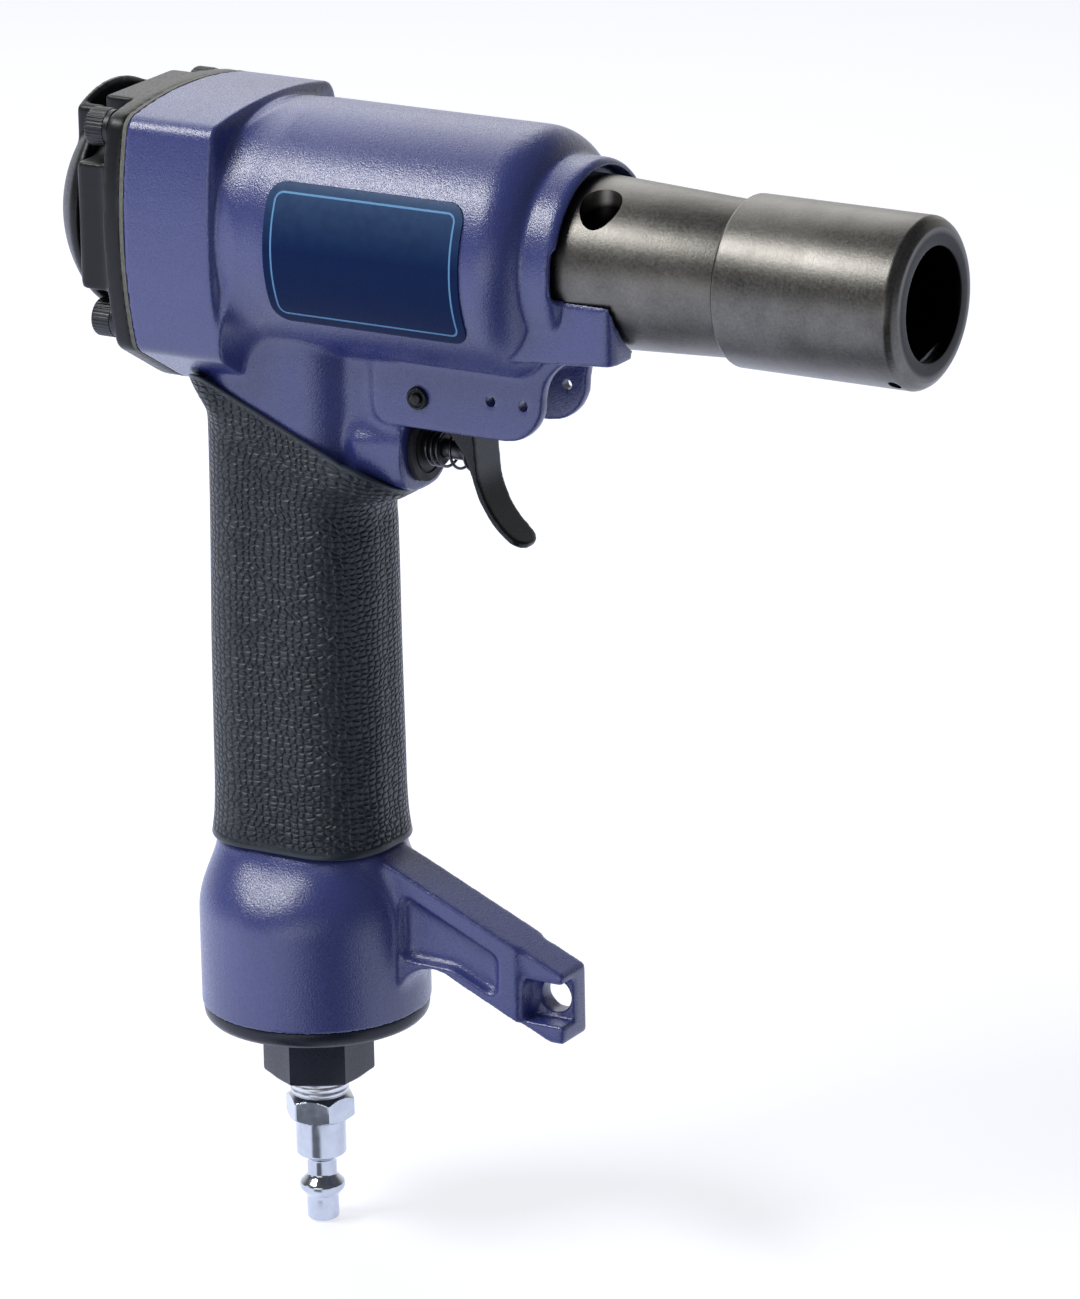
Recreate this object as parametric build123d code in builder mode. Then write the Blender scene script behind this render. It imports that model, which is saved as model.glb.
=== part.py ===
from build123d import *

import os
from math import cos, pi, radians, sin, sqrt

# Pneumatic stamping hammer, in millimetres.
# +X runs along the barrel to the working end, +Y to the user's left, +Z up.
# The origin is the centre of the sleeve's mouth, on the barrel axis.

os.makedirs("parts", exist_ok=True)

# Clearances
slide_clearance = 0.08
fit_clearance = 0.1
seat_gap = 0.2
thread_clearance = 0.1

# Barrel casting, and the layout that follows from it
barrel_r = 28.2
barrel_wall = 3.7
bore_r = barrel_r - barrel_wall
bore_reach = 57.0
barrel_front_wall = 5.5
barrel_reach = bore_reach + barrel_front_wall
neck_r = 22.6
neck_length = 17.5
neck_reach = barrel_reach + neck_length
shoulder_length = 8.8
nose_reach = 81.1
handle_x = -neck_reach - nose_reach
neck_edge_r = 2.6
neck_recess_depth = 5.0
neck_gap = 1.8
neck_slot_top = 6.8
neck_slot_bottom = -4.3
neck_slot_depth = 1.4
barrel_front = handle_x + barrel_reach
bore_end = handle_x + bore_reach
neck_front = handle_x + neck_reach
recess_end = neck_front - neck_recess_depth

# Rear flange of the casting, shared by the gasket and the cap
flange_setback = 4.6
flange_length = 22.4
flange_half_width = barrel_r + 0.4
flange_top = barrel_r + 0.3
flange_corner_y = barrel_r - 3.0
flange_corner_z = barrel_r - 2.6
flange_low_y = barrel_r - 3.4
flange_low_z = 0.7 - barrel_r
flange_corner_r = 4.5
keel_z = -barrel_r - 14.1
keel_r = 17.0
flange_blend_r = 9.5
flange_front = handle_x - flange_setback
flange_rear = flange_front - flange_length

# Rear cap
gasket_thickness = 1.0
cap_plate = 4.8
boss_height = 8.2
boss_edge_r = 1.2
boss_half_width = flange_half_width - 2.6
boss_half_height = flange_top - 1.3
cap_bore_r = 18.0
cap_back_wall = 3.4
exhaust_hole_r = 2.2
exhaust_ring_r = 11.5
exhaust_holes = 6
gasket_rear = flange_rear - gasket_thickness
cap_rear = gasket_rear - cap_plate
boss_rear = cap_rear - boss_height

# Cap screws
screw_y = flange_corner_y - 4.2
screw_z = flange_corner_z - 3.6
screw_r = 2.45
screw_hole_r = screw_r + 0.3
screw_depth = 13.0
screw_head_r = 4.4
screw_head_height = 5.0
screw_chamfer = 0.5
screw_socket_across = 4.0
screw_socket_depth = 2.6
screw_recess_r = 7.3
washer_thickness = 1.2
washer_split = 0.7

# Exhaust deflector
deflector_gap = 0.5
deflector_rim_r = 25.0
deflector_dome_r = 31.6
deflector_wall = 2.0
deflector_flat_r = 10.0
deflector_rim_height = 2.0
spout_half_width = 13.7
spout_depth = 7.0
spout_top_r = 27.3
spout_base_z = 6.0
bush_r = 5.0
deflector_screw_r = 2.9
deflector_screw_head_r = 6.0
deflector_screw_head = 2.8
deflector_screw_floor = 0.9

# Head valve
head_disc = 7.5
head_travel = 3.0
head_end_clearance = 5.2
head_hub_length = 10.4
head_bore_r = 8.5
head_spring_turns = 3
head_spring_wire = 0.9
head_spring_r = 13.0
head_valve_rear = gasket_rear + head_end_clearance + head_travel
head_valve_front = head_valve_rear + head_disc
head_hub_rear = head_valve_rear - head_hub_length
head_hub_r = cap_bore_r - slide_clearance

# Cylinder, piston and ram
cylinder_bore_r = 16.0
cylinder_wall = 3.6
land_length = 6.0
land_groove = 2.6
groove_depth = 2.2
piston_length = 14.0
piston_setback = 2.0
piston_ring_height = 2.5
piston_ring_depth = 2.4
ram_r = 6.9
ram_seat = 9.0
ram_setback = 20.0
ram_chamfer = 0.8
bumper_length = 9.5
bumper_hole = 0.7
bumper_edge_r = 1.5
stroke_margin = 1.0
cylinder_rear = head_valve_front + seat_gap
piston_rear = cylinder_rear + piston_setback
piston_front = piston_rear + piston_length
bumper_rear = bore_end - bumper_length
hammer_stroke = bumper_rear - piston_front - stroke_margin
piston_r = cylinder_bore_r - slide_clearance

# Nose tube and sleeve
tube_r = 19.0
tube_tip_r = 17.2
tube_spigot_r = 16.4
tommy_hole_r = 4.7
tommy_hole_ahead = 5.3
tommy_hole_y = -10.4
tommy_hole_floor = 3.0
thread_r = 16.0
thread_length = 11.5
tube_mouth_r = 9.5
tube_mouth_depth = 9.0
sleeve_length = 44.6
sleeve_r = 19.05
sleeve_front_chamfer = 1.9
sleeve_face_r = 16.9
sleeve_rear_chamfer = 0.6
lip_length = 11.0
mouth_r = 12.7
mouth_land = 2.2
key_bore_relief = 0.8
sleeve_rear = -sleeve_length
tube_front = sleeve_rear + thread_length
tube_seat = sleeve_rear - seat_gap
ram_tip = tube_front - ram_setback
guide_r = ram_r + slide_clearance
lip_rear = -lip_length

# Index key in the mouth and its cross pin
key_turn = 12.5
key_flat = 11.3
key_width = 13.0
key_depth = 4.2
key_pin_r = 1.35
key_pin_level = 13.0
key_pin_back = 3.9

# Cradle under the tube
cradle_half_width = 19.2
cradle_top = -4.4
cradle_bottom = -20.5
cradle_front_bottom = -18.2
cradle_reach = neck_reach + 12.5
cradle_corner_r = 2.5
cradle_gap = 0.35
cradle_slot_half = 10.2

# Throat between barrel and grip
throat_r = 22.5
throat_drop = barrel_r - 3.7
throat_tilt = 23.5
throat_length = 42.0
throat_width = 32.0
throat_corner = 13.5

# Handle core and grip
core_length = 37.0
core_width = 27.0
core_corner = 11.0
air_r = 9.0
grip_end_z = -145.0
grip_length = 43.2
grip_width = 33.3
grip_corner = 14.3
grip_foot_flare = 2.0
grip_top_taper = 0.9
grip_lip_front = 27.6
grip_lip_rear = 25.0
grip_lip_height = 5.5

# Bell at the foot of the handle
bell_r = 26.4
bell_roundness = 0.99
bell_top_length = 43.0
bell_top_width = 33.0
bell_top_corner = 14.0
bell_full_z = -162.5
bell_end_z = -186.0
cavity_r = 21.0
cavity_depth = 17.0
bell_top_z = grip_end_z - seat_gap

# Arm ahead of the bell
arm_half_width = 6.3
arm_reach = 69.0
arm_root_x = 19.5
arm_root_z = bell_top_z - 0.2
arm_tip_top = -167.2
arm_tip_bottom = -183.6
arm_tip_flat = 4.0
arm_step_back = 11.6
arm_step_low = -180.2
arm_step_depth = 0.9
arch_front_x = 40.5
arch_front_z = -172.6
arch_top_x = 34.6
arch_top_z = -171.0
arch_rear_x = 28.0
arch_rear_z = -174.4
pocket_depth = 2.8
pocket_left = 26.9
pocket_margin = 5.0
pocket_rib = 2.7
pocket_corner_r = 2.0
notch_length = 10.8
notch_top = -169.5
notch_bottom = -179.4
arm_hole_back = 5.2
arm_hole_z = -174.3
arm_hole_r = 3.9

# Valve block and trigger ears
valve_z = -barrel_r - 20.1
valve_block_r = 10.0
valve_block_reach = 33.0
ear_inner = 8.2
ear_thickness = 3.0
ear_rear = 26.0
ear_front = 70.0
ear_bottom = -barrel_r - 12.9
ear_corner_r = 10.0
ear_rear_r = 4.0
ear_flare_x = neck_reach - 1.5
ear_flare_z = -20.6
ear_hole_r = 1.25
ear_hole_front = 65.0
ear_hole_rear = 56.7
ear_hole_z = -barrel_r - 4.1
ear_outer = ear_inner + ear_thickness
block_front = handle_x + valve_block_reach

# Trigger and its pin
pivot_ahead = 38.1
pivot_z = -barrel_r - 5.6
pin_r = 2.0
pin_head_r = 2.6
pin_head = 1.0
pin_button_r = 1.4
pin_button = 0.7
clip_thickness = 0.8
clip_r = 3.4
clip_groove = 0.5
lug_r = 4.2
trigger_half_width = 5.5
trigger_tip_half_width = 4.5
trigger_sheet = 0.7
trigger_web = 1.6
trigger_top_x = 10.3
trigger_top_z = -4.4
trigger_knee_x = 11.2
trigger_knee_z = -16.6
trigger_tip_x = 22.2
trigger_tip_z = -33.3
trigger_tip_r = 4.0
flange_rear_x = 7.6
flange_rear_z = -13.6
flange_low_x = 10.6
flange_low_drop = -20.4
pivot_x = handle_x + pivot_ahead

# Trigger valve
valve_body_r = 7.4
valve_body_length = 20.0
valve_flange_r = 8.0
valve_flange = 1.2
valve_boss_r = 3.3
valve_boss = 4.0
valve_groove_r = 6.2
valve_groove_width = 0.6
valve_groove_depth = 0.4
valve_ring_inset = 4.0
stem_r = 2.2
stem_tail = 17.0
stem_dome = 1.2
spring_r = 4.05
spring_wire = 0.7
spring_close_turns = 2.5
spring_close_pitch = 1.4
spring_open_turns = 2.5
valve_front = block_front + valve_flange

# End cap and air plug
end_ring_r = 25.6
end_ring = 2.6
end_spigot_length = 10.0
end_seal_inset = 4.0
end_hex_across = 22.2
end_hex_height = 14.9
plug_thread_r = 6.6
plug_thread_length = 15.5
plug_thread_gap = 5.0
tape_thickness = 0.25
plug_hex_across = 14.29
plug_hex_height = 6.5
plug_hex_turn = 17.0
plug_body_r = 5.87
plug_body = 8.5
plug_chamfer = 1.5
plug_groove_r = 3.45
plug_groove = 4.0
plug_collar_r = 5.3
plug_collar = 5.2
plug_nose_r = 3.76
plug_nose = 5.8
plug_bore_r = 2.4
end_ring_z = bell_end_z - end_ring
end_hex_z = end_ring_z - end_hex_height
plug_hex_top = end_hex_z - plug_thread_gap
plug_hex_z = plug_hex_top - plug_hex_height
plug_body_z = plug_hex_z - plug_body
plug_groove_z = plug_body_z - plug_chamfer - plug_groove
plug_collar_z = plug_groove_z - plug_collar
plug_tip_z = plug_collar_z - plug_nose

# Label plate on the barrel's right side
label_rear = 9.5
label_length = 50.0
label_low = -16.0
label_high = 15.8
label_corner_r = 4.0
label_thickness = 0.4


def across(x):
    """Plane square to the barrel axis, x along it: sketch axes are Y and Z."""
    return Plane.YZ.offset(x)


def level(z):
    """Level plane at height z, centred on the handle axis."""
    return Plane((handle_x, 0, z))


def slanted(z, tilt):
    """Plane through the handle axis at height z, tipped down towards the front by tilt degrees."""
    lean = radians(tilt)
    return Plane((handle_x, 0, z), x_dir=(cos(lean), 0, -sin(lean)), z_dir=(sin(lean), 0, cos(lean)))


def finish(part, name):
    """Names a finished piece and writes it."""
    part.label = name
    export_step(part, f"parts/{name}.step")


screw_spots = [(y, z) for y in (-screw_y, screw_y) for z in (-screw_z, screw_z)]

# Rear outline: a square with bowed sides and a rounded keel
with BuildSketch() as rear_outline:
    with BuildLine():
        ThreePointArc(
            (flange_low_y, flange_low_z), (flange_half_width, 0), (flange_corner_y, flange_corner_z)
        )
        ThreePointArc(
            (flange_corner_y, flange_corner_z), (0, flange_top), (-flange_corner_y, flange_corner_z)
        )
        ThreePointArc(
            (-flange_corner_y, flange_corner_z), (-flange_half_width, 0), (-flange_low_y, flange_low_z)
        )
        Polyline((-flange_low_y, flange_low_z), (0, keel_z), (flange_low_y, flange_low_z))
    make_face()
    fillet(rear_outline.vertices().sort_by(Axis.Y)[0], keel_r)
    fillet(rear_outline.vertices().group_by(Axis.Y)[-1], flange_corner_r)
    low_corners = rear_outline.vertices().filter_by_position(Axis.Y, flange_low_z - 1, flange_low_z + 1)
    fillet(low_corners, flange_corner_r)

# Concave blend from the flange corners down to the barrel
with BuildPart() as flange_blend:
    with BuildSketch(across(flange_front)):
        add(rear_outline.sketch)
    extrude(amount=flange_blend_r)
    with BuildSketch(Plane.XZ):
        with BuildLine():
            arc_start = (flange_front, barrel_r + flange_blend_r)
            arc_end = (flange_front + flange_blend_r, barrel_r)
            TangentArc(arc_end, arc_start, tangent=(-1, 0))
            Polyline(arc_start, (flange_front, 0), (flange_front + flange_blend_r, 0), arc_end)
        make_face()
    revolve(axis=Axis.X, mode=Mode.INTERSECT)

# Throat: the handle's upper end, cut below by a slanted cylinder
throat_axis = Plane(
    (handle_x, 0, -throat_drop),
    x_dir=(0, 1, 0),
    z_dir=(cos(radians(throat_tilt)), 0, -sin(radians(throat_tilt))),
)
throat_reach = throat_length + throat_r
with BuildPart() as throat:
    with BuildSketch(level(-throat_drop - 2 * throat_r)):
        RectangleRounded(throat_length, throat_width, throat_corner)
    extrude(amount=2 * throat_r + throat_drop / 2)
    with BuildSketch(throat_axis):
        Circle(throat_r)
    extrude(amount=throat_reach, both=True, mode=Mode.INTERSECT)

# Cradle that the tube lies in, ahead of the barrel
cradle_front = handle_x + cradle_reach
with BuildPart() as cradle:
    with BuildSketch(Plane.XZ):
        Polygon(
            (bore_end, cradle_bottom),
            (barrel_front, cradle_bottom),
            (cradle_front, cradle_front_bottom),
            (cradle_front, cradle_top),
            (bore_end, cradle_top),
            align=None,
        )
    extrude(amount=cradle_half_width, both=True)
    fillet(cradle.edges().filter_by(Axis.Z).group_by(Axis.X)[-1], cradle_corner_r)

# Arm outline in the X-Z plane, and the lines that its pocket follows
arm_tip = handle_x + arm_reach
arm_step = arm_tip - arm_step_back
arm_root = handle_x + arm_root_x
arch_front = handle_x + arch_front_x
arm_top_slope = (arm_tip_top - arm_root_z) / (arm_tip - arm_root)
arm_low_slope = (arm_step_low - arch_front_z) / (arm_step - arch_front)


def arm_top(x):
    """Height of the arm's top line at x."""
    return arm_root_z + arm_top_slope * (x - arm_root)


def arm_low(x):
    """Height of the arm's straight lower line at x."""
    return arch_front_z + arm_low_slope * (x - arch_front)


# Housing: one casting of barrel, flange, throat, valve block, ears, handle core, bell and arm
with BuildPart() as housing:
    with BuildSketch(Plane.XZ):
        with BuildLine():
            crown = Line((flange_rear, barrel_r), (barrel_front, barrel_r))
            shoulder = TangentArc(crown @ 1, (barrel_front + shoulder_length, neck_r), tangent=(1, 0))
            neck_line = Line(shoulder @ 1, (neck_front - neck_edge_r, neck_r))
            edge = JernArc(neck_line @ 1, (1, 0), neck_edge_r, -90)
            Polyline(edge @ 1, (neck_front, 0), (flange_rear, 0), (flange_rear, barrel_r))
        make_face()
    revolve(axis=Axis.X)
    with BuildSketch(across(flange_rear)):
        add(rear_outline.sketch)
    extrude(amount=flange_length)
    add(flange_blend.part)
    add(throat.part)

    # Cradle, ears and valve block
    add(cradle.part)
    for side in (ear_inner, -ear_outer):
        with BuildSketch(Plane.XZ.offset(side)):
            with BuildLine():
                ear_nose = handle_x + ear_front
                flare = (handle_x + ear_flare_x, ear_flare_z)
                lower = Line(
                    (handle_x + ear_rear + ear_rear_r, ear_bottom),
                    (ear_nose - ear_corner_r, ear_bottom),
                )
                round_nose = TangentArc(lower @ 1, (ear_nose, ear_bottom + ear_corner_r), tangent=(1, 0))
                sweep_up = TangentArc(round_nose @ 1, flare, tangent=(0, 1))
                Polyline(
                    sweep_up @ 1,
                    (flare[0], cradle_top - cradle_corner_r),
                    (handle_x + ear_rear, cradle_top - cradle_corner_r),
                    (handle_x + ear_rear, ear_bottom + ear_rear_r),
                )
                TangentArc((handle_x + ear_rear, ear_bottom + ear_rear_r), lower @ 0, tangent=(0, -1))
            make_face()
        extrude(amount=ear_thickness)
    with BuildSketch(across(handle_x)):
        with Locations((0, valve_z)):
            Circle(valve_block_r)
            Rectangle(2 * valve_block_r, -valve_z, align=(Align.CENTER, Align.MIN))
    extrude(amount=valve_block_reach)

    # Handle core and bell
    with BuildSketch(level(bell_top_z)):
        RectangleRounded(core_length, core_width, core_corner)
    extrude(amount=-bell_top_z - throat_drop)
    bell_steps = 5
    for step in range(bell_steps):
        share = step / (bell_steps - 1)
        swell = 0.5 - 0.5 * cos(pi * share ** 0.85)
        long_side = bell_top_length + (2 * bell_r - bell_top_length) * swell
        wide_side = bell_top_width + (2 * bell_r - bell_top_width) * swell
        corner = bell_top_corner + (bell_roundness * bell_r - bell_top_corner) * swell
        with BuildSketch(level(bell_top_z + (bell_full_z - bell_top_z) * share)):
            RectangleRounded(long_side, wide_side, corner)
    loft()
    with BuildSketch(level(bell_end_z)):
        RectangleRounded(2 * bell_r, 2 * bell_r, bell_roundness * bell_r)
    extrude(amount=bell_full_z - bell_end_z)

    # Arm with its tip recessed on both sides, pockets, notch and hole
    with BuildSketch(Plane.XZ):
        with BuildLine():
            Polyline(
                (handle_x, bell_full_z),
                (arm_root, arm_root_z),
                (arm_tip, arm_tip_top),
                (arm_tip, arm_tip_bottom),
                (arm_tip - arm_tip_flat, arm_tip_bottom),
                (arm_step, arm_step_low),
                (arch_front, arch_front_z),
            )
            arch = ThreePointArc(
                (arch_front, arch_front_z),
                (handle_x + arch_top_x, arch_top_z),
                (handle_x + arch_rear_x, arch_rear_z),
            )
            Polyline(arch @ 1, (handle_x + cavity_r, bell_end_z + 1), (handle_x, bell_full_z))
        make_face()
    extrude(amount=arm_half_width, both=True)
    for outside in (arm_half_width, -arm_half_width + arm_step_depth):
        with BuildSketch(Plane.XZ.offset(outside)):
            with Locations((arm_step, 0)):
                Rectangle(
                    arm_step_back + 1, -2 * arm_tip_bottom, align=(Align.MIN, Align.CENTER)
                )
        extrude(amount=-arm_step_depth, mode=Mode.SUBTRACT)
    pocket_right = arm_step - pocket_margin
    pocket_left_x = handle_x + pocket_left
    for outside in (arm_half_width, -arm_half_width + pocket_depth):
        with BuildSketch(Plane.XZ.offset(outside)):
            with BuildLine():
                Polyline(
                    (pocket_left_x, arm_top(pocket_left_x) - pocket_margin),
                    (pocket_right, arm_top(pocket_right) - pocket_margin),
                    (pocket_right, arm_low(pocket_right) + pocket_rib),
                    (arch_front, arm_low(arch_front) + pocket_rib),
                    (pocket_left_x, arch_top_z + pocket_rib / 2),
                    close=True,
                )
            pocket_face = make_face()
            fillet(pocket_face.vertices(), pocket_corner_r)
        extrude(amount=-pocket_depth, mode=Mode.SUBTRACT)
    with BuildSketch(Plane.XZ):
        with Locations((arm_tip - notch_length, notch_bottom)):
            Rectangle(notch_length + 1, notch_top - notch_bottom, align=(Align.MIN, Align.MIN))
    extrude(amount=arm_half_width + 1, mode=Mode.SUBTRACT)
    with BuildSketch(Plane.XZ):
        with Locations((arm_tip - arm_hole_back, arm_hole_z)):
            Circle(arm_hole_r)
    extrude(amount=-arm_half_width - 1, mode=Mode.SUBTRACT)

    # Bores for the cylinder, tube, air way and trigger valve
    with BuildSketch(across(flange_rear)):
        Circle(bore_r)
    extrude(amount=bore_end - flange_rear, mode=Mode.SUBTRACT)
    with BuildSketch(across(bore_end)):
        Circle(tube_spigot_r + fit_clearance)
    extrude(amount=recess_end - bore_end, mode=Mode.SUBTRACT)
    with BuildSketch(across(recess_end)):
        Circle(tube_r + cradle_gap)
    extrude(amount=cradle_reach, mode=Mode.SUBTRACT)
    with BuildSketch(across(recess_end)):
        Circle(tube_r + neck_gap)
        with Locations((0, cradle_top)):
            Rectangle(4 * tube_r, 2 * tube_r, align=(Align.CENTER, Align.MAX), mode=Mode.SUBTRACT)
    extrude(amount=neck_recess_depth, mode=Mode.SUBTRACT)
    with BuildSketch(across(neck_front)):
        with Locations((-neck_r, (neck_slot_top + neck_slot_bottom) / 2)):
            Rectangle(2 * (neck_r - tube_r), neck_slot_top - neck_slot_bottom)
    extrude(amount=-neck_slot_depth, mode=Mode.SUBTRACT)
    with BuildSketch(across(neck_front)):
        with Locations((0, -tube_r)):
            Rectangle(2 * cradle_slot_half, tube_r)
    extrude(amount=cradle_reach, mode=Mode.SUBTRACT)
    with BuildSketch(level(bell_end_z)):
        Circle(cavity_r)
    extrude(amount=cavity_depth, mode=Mode.SUBTRACT)
    with BuildSketch(level(bell_end_z)):
        Circle(air_r)
    extrude(amount=-bell_end_z - bore_r + 3, mode=Mode.SUBTRACT)
    with BuildSketch(across(handle_x)):
        with Locations((0, valve_z)):
            Circle(valve_body_r + fit_clearance)
    extrude(amount=valve_block_reach, mode=Mode.SUBTRACT)

    # Screw holes, and the holes across the ears
    with BuildSketch(across(flange_rear)):
        with Locations(*screw_spots):
            Circle(screw_r + thread_clearance)
    extrude(amount=screw_depth + 1, mode=Mode.SUBTRACT)
    with BuildSketch(Plane.XZ):
        with Locations((pivot_x, pivot_z)):
            Circle(pin_r + fit_clearance)
        with Locations((handle_x + ear_hole_front, ear_hole_z), (handle_x + ear_hole_rear, ear_hole_z)):
            Circle(ear_hole_r)
    extrude(amount=ear_outer + 1, both=True, mode=Mode.SUBTRACT)
finish(housing.part, "housing")

# Gasket between the casting and the cap
with BuildPart() as cap_gasket:
    with BuildSketch(across(gasket_rear)):
        add(rear_outline.sketch)
        Circle(bore_r, mode=Mode.SUBTRACT)
        with Locations(*screw_spots):
            Circle(screw_hole_r, mode=Mode.SUBTRACT)
    extrude(amount=gasket_thickness)
finish(cap_gasket.part, "cap_gasket")

# Rear cap: plate with a cross-shaped boss that leaves room round the screw heads
with BuildPart() as rear_cap:
    with BuildSketch(across(cap_rear)):
        add(rear_outline.sketch)
        with Locations(*screw_spots):
            Circle(screw_hole_r, mode=Mode.SUBTRACT)
    extrude(amount=cap_plate)
    with BuildSketch(across(boss_rear)):
        Rectangle(2 * boss_half_width, 2 * boss_half_height)
        for y, z in screw_spots:
            corner_y = boss_half_width if y > 0 else -boss_half_width
            corner_z = boss_half_height if z > 0 else -boss_half_height
            cut_width = 2 * (boss_half_width - screw_y + screw_recess_r)
            cut_height = 2 * (boss_half_height - screw_z + screw_recess_r)
            with Locations((corner_y, corner_z)):
                RectangleRounded(cut_width, cut_height, screw_recess_r - fit_clearance, mode=Mode.SUBTRACT)
    extrude(amount=boss_height)
    boss_edges = rear_cap.faces().sort_by(Axis.X)[0].edges()
    fillet(boss_edges, boss_edge_r)
    with BuildSketch(across(gasket_rear)):
        Circle(cap_bore_r)
    extrude(amount=-(gasket_rear - boss_rear - cap_back_wall), mode=Mode.SUBTRACT)
    with BuildSketch(across(boss_rear)):
        with PolarLocations(exhaust_ring_r, exhaust_holes):
            Circle(exhaust_hole_r)
        Circle(deflector_screw_r + thread_clearance)
    extrude(amount=cap_back_wall, mode=Mode.SUBTRACT)
finish(rear_cap.part, "rear_cap")

# Cap screws with socket heads, on split lock washers
washer_rear = cap_rear - washer_thickness
head_rear = washer_rear - screw_head_height
with BuildPart() as cap_screws:
    with BuildSketch(across(head_rear)):
        with Locations(*screw_spots):
            Circle(screw_head_r)
    extrude(amount=screw_head_height)
    chamfer(cap_screws.faces().sort_by(Axis.X)[0:4].edges(), screw_chamfer)
    with BuildSketch(across(washer_rear)):
        with Locations(*screw_spots):
            Circle(screw_r)
    extrude(amount=flange_rear + screw_depth - washer_rear)
    with BuildSketch(across(head_rear)):
        with Locations(*screw_spots):
            RegularPolygon(screw_socket_across / 2, 6, major_radius=False)
    extrude(amount=screw_socket_depth, mode=Mode.SUBTRACT)
finish(cap_screws.part, "cap_screws")

with BuildPart() as lock_washers:
    with BuildSketch(across(washer_rear)):
        with Locations(*screw_spots):
            Circle(screw_head_r - seat_gap)
            Circle(screw_hole_r, mode=Mode.SUBTRACT)
            with Locations((screw_head_r, 0)):
                Rectangle(2 * screw_head_r, washer_split, rotation=30, mode=Mode.SUBTRACT)
    extrude(amount=washer_thickness)
finish(lock_washers.part, "lock_washers")

# Exhaust deflector: a domed cup with a spout at the top, turning on a bush and screw
deflector_front = boss_rear - deflector_gap
rim_rear = deflector_front - deflector_rim_height
dome_centre = rim_rear + sqrt(deflector_dome_r ** 2 - deflector_rim_r ** 2)
flat_x = dome_centre - sqrt(deflector_dome_r ** 2 - deflector_flat_r ** 2)


def dome_profile(rim_r, dome_r, flat_r):
    """Half section of the cup: a rim, a round dome about dome_centre and a flat end."""
    rim_x = dome_centre - sqrt(dome_r ** 2 - rim_r ** 2)
    end_x = dome_centre - sqrt(dome_r ** 2 - flat_r ** 2)
    middle_r = (rim_r + flat_r) / 2
    middle_x = dome_centre - sqrt(dome_r ** 2 - middle_r ** 2)
    with BuildSketch() as profile:
        with BuildLine():
            Polyline(
                (end_x, flat_r),
                (end_x, 0),
                (deflector_front, 0),
                (deflector_front, rim_r),
                (rim_x, rim_r),
            )
            ThreePointArc((rim_x, rim_r), (middle_x, middle_r), (end_x, flat_r))
        make_face()
    return profile.sketch


with BuildPart() as exhaust_deflector:
    with BuildSketch(Plane.XZ):
        add(dome_profile(deflector_rim_r, deflector_dome_r, deflector_flat_r))
    revolve(axis=Axis.X)
    with BuildSketch(across(deflector_front - spout_depth)):
        Circle(spout_top_r)
        Rectangle(2 * spout_half_width, 4 * spout_top_r, mode=Mode.INTERSECT)
        with Locations((0, spout_base_z)):
            Rectangle(4 * spout_top_r, 2 * spout_top_r, align=(Align.CENTER, Align.MIN), mode=Mode.INTERSECT)
    extrude(amount=spout_depth)
    with BuildSketch(Plane.XZ):
        add(
            dome_profile(
                deflector_rim_r - deflector_wall, deflector_dome_r - deflector_wall, deflector_flat_r - 1
            )
        )
    revolve(axis=Axis.X, mode=Mode.SUBTRACT)
    with BuildSketch(across(deflector_front - spout_depth + deflector_wall)):
        with Locations((0, spout_base_z)):
            Rectangle(
                2 * (spout_half_width - deflector_wall), 2 * spout_top_r, align=(Align.CENTER, Align.MIN)
            )
    extrude(amount=spout_depth, mode=Mode.SUBTRACT)
    with BuildSketch(across(flat_x)):
        Circle(deflector_screw_r + slide_clearance)
    extrude(amount=2 * deflector_wall, mode=Mode.SUBTRACT)
finish(exhaust_deflector.part, "exhaust_deflector")

inner_flat_x = dome_centre - sqrt((deflector_dome_r - deflector_wall) ** 2 - (deflector_flat_r - 1) ** 2)
with BuildPart() as deflector_bush:
    with BuildSketch(across(boss_rear)):
        Circle(bush_r)
        Circle(deflector_screw_r + fit_clearance, mode=Mode.SUBTRACT)
    extrude(amount=inner_flat_x + seat_gap - boss_rear)
finish(deflector_bush.part, "deflector_bush")

with BuildPart() as deflector_screw:
    with BuildSketch(across(flat_x - seat_gap)):
        Circle(deflector_screw_r)
    extrude(amount=boss_rear + cap_back_wall - flat_x)
    with BuildSketch(across(flat_x - seat_gap)):
        Circle(deflector_screw_head_r)
    extrude(amount=-deflector_screw_head)
    head_face = deflector_screw.faces().sort_by(Axis.X)[0]
    fillet(head_face.edges(), deflector_screw_head / 2)
    with BuildSketch(across(flat_x - seat_gap - deflector_screw_head)):
        RegularPolygon(screw_socket_across / 2, 6, major_radius=False)
    extrude(amount=deflector_screw_head - deflector_screw_floor, mode=Mode.SUBTRACT)
finish(deflector_screw.part, "deflector_screw")


def seal_ring(x, outer_r, depth):
    """Round ring in a groove: it fills the depth below outer_r, lying across the axis at x."""
    thickness = depth / 2 - slide_clearance / 2
    with BuildPart() as ring:
        with Locations(across(x)):
            Torus(outer_r - depth / 2, thickness)
    return ring.part


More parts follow.
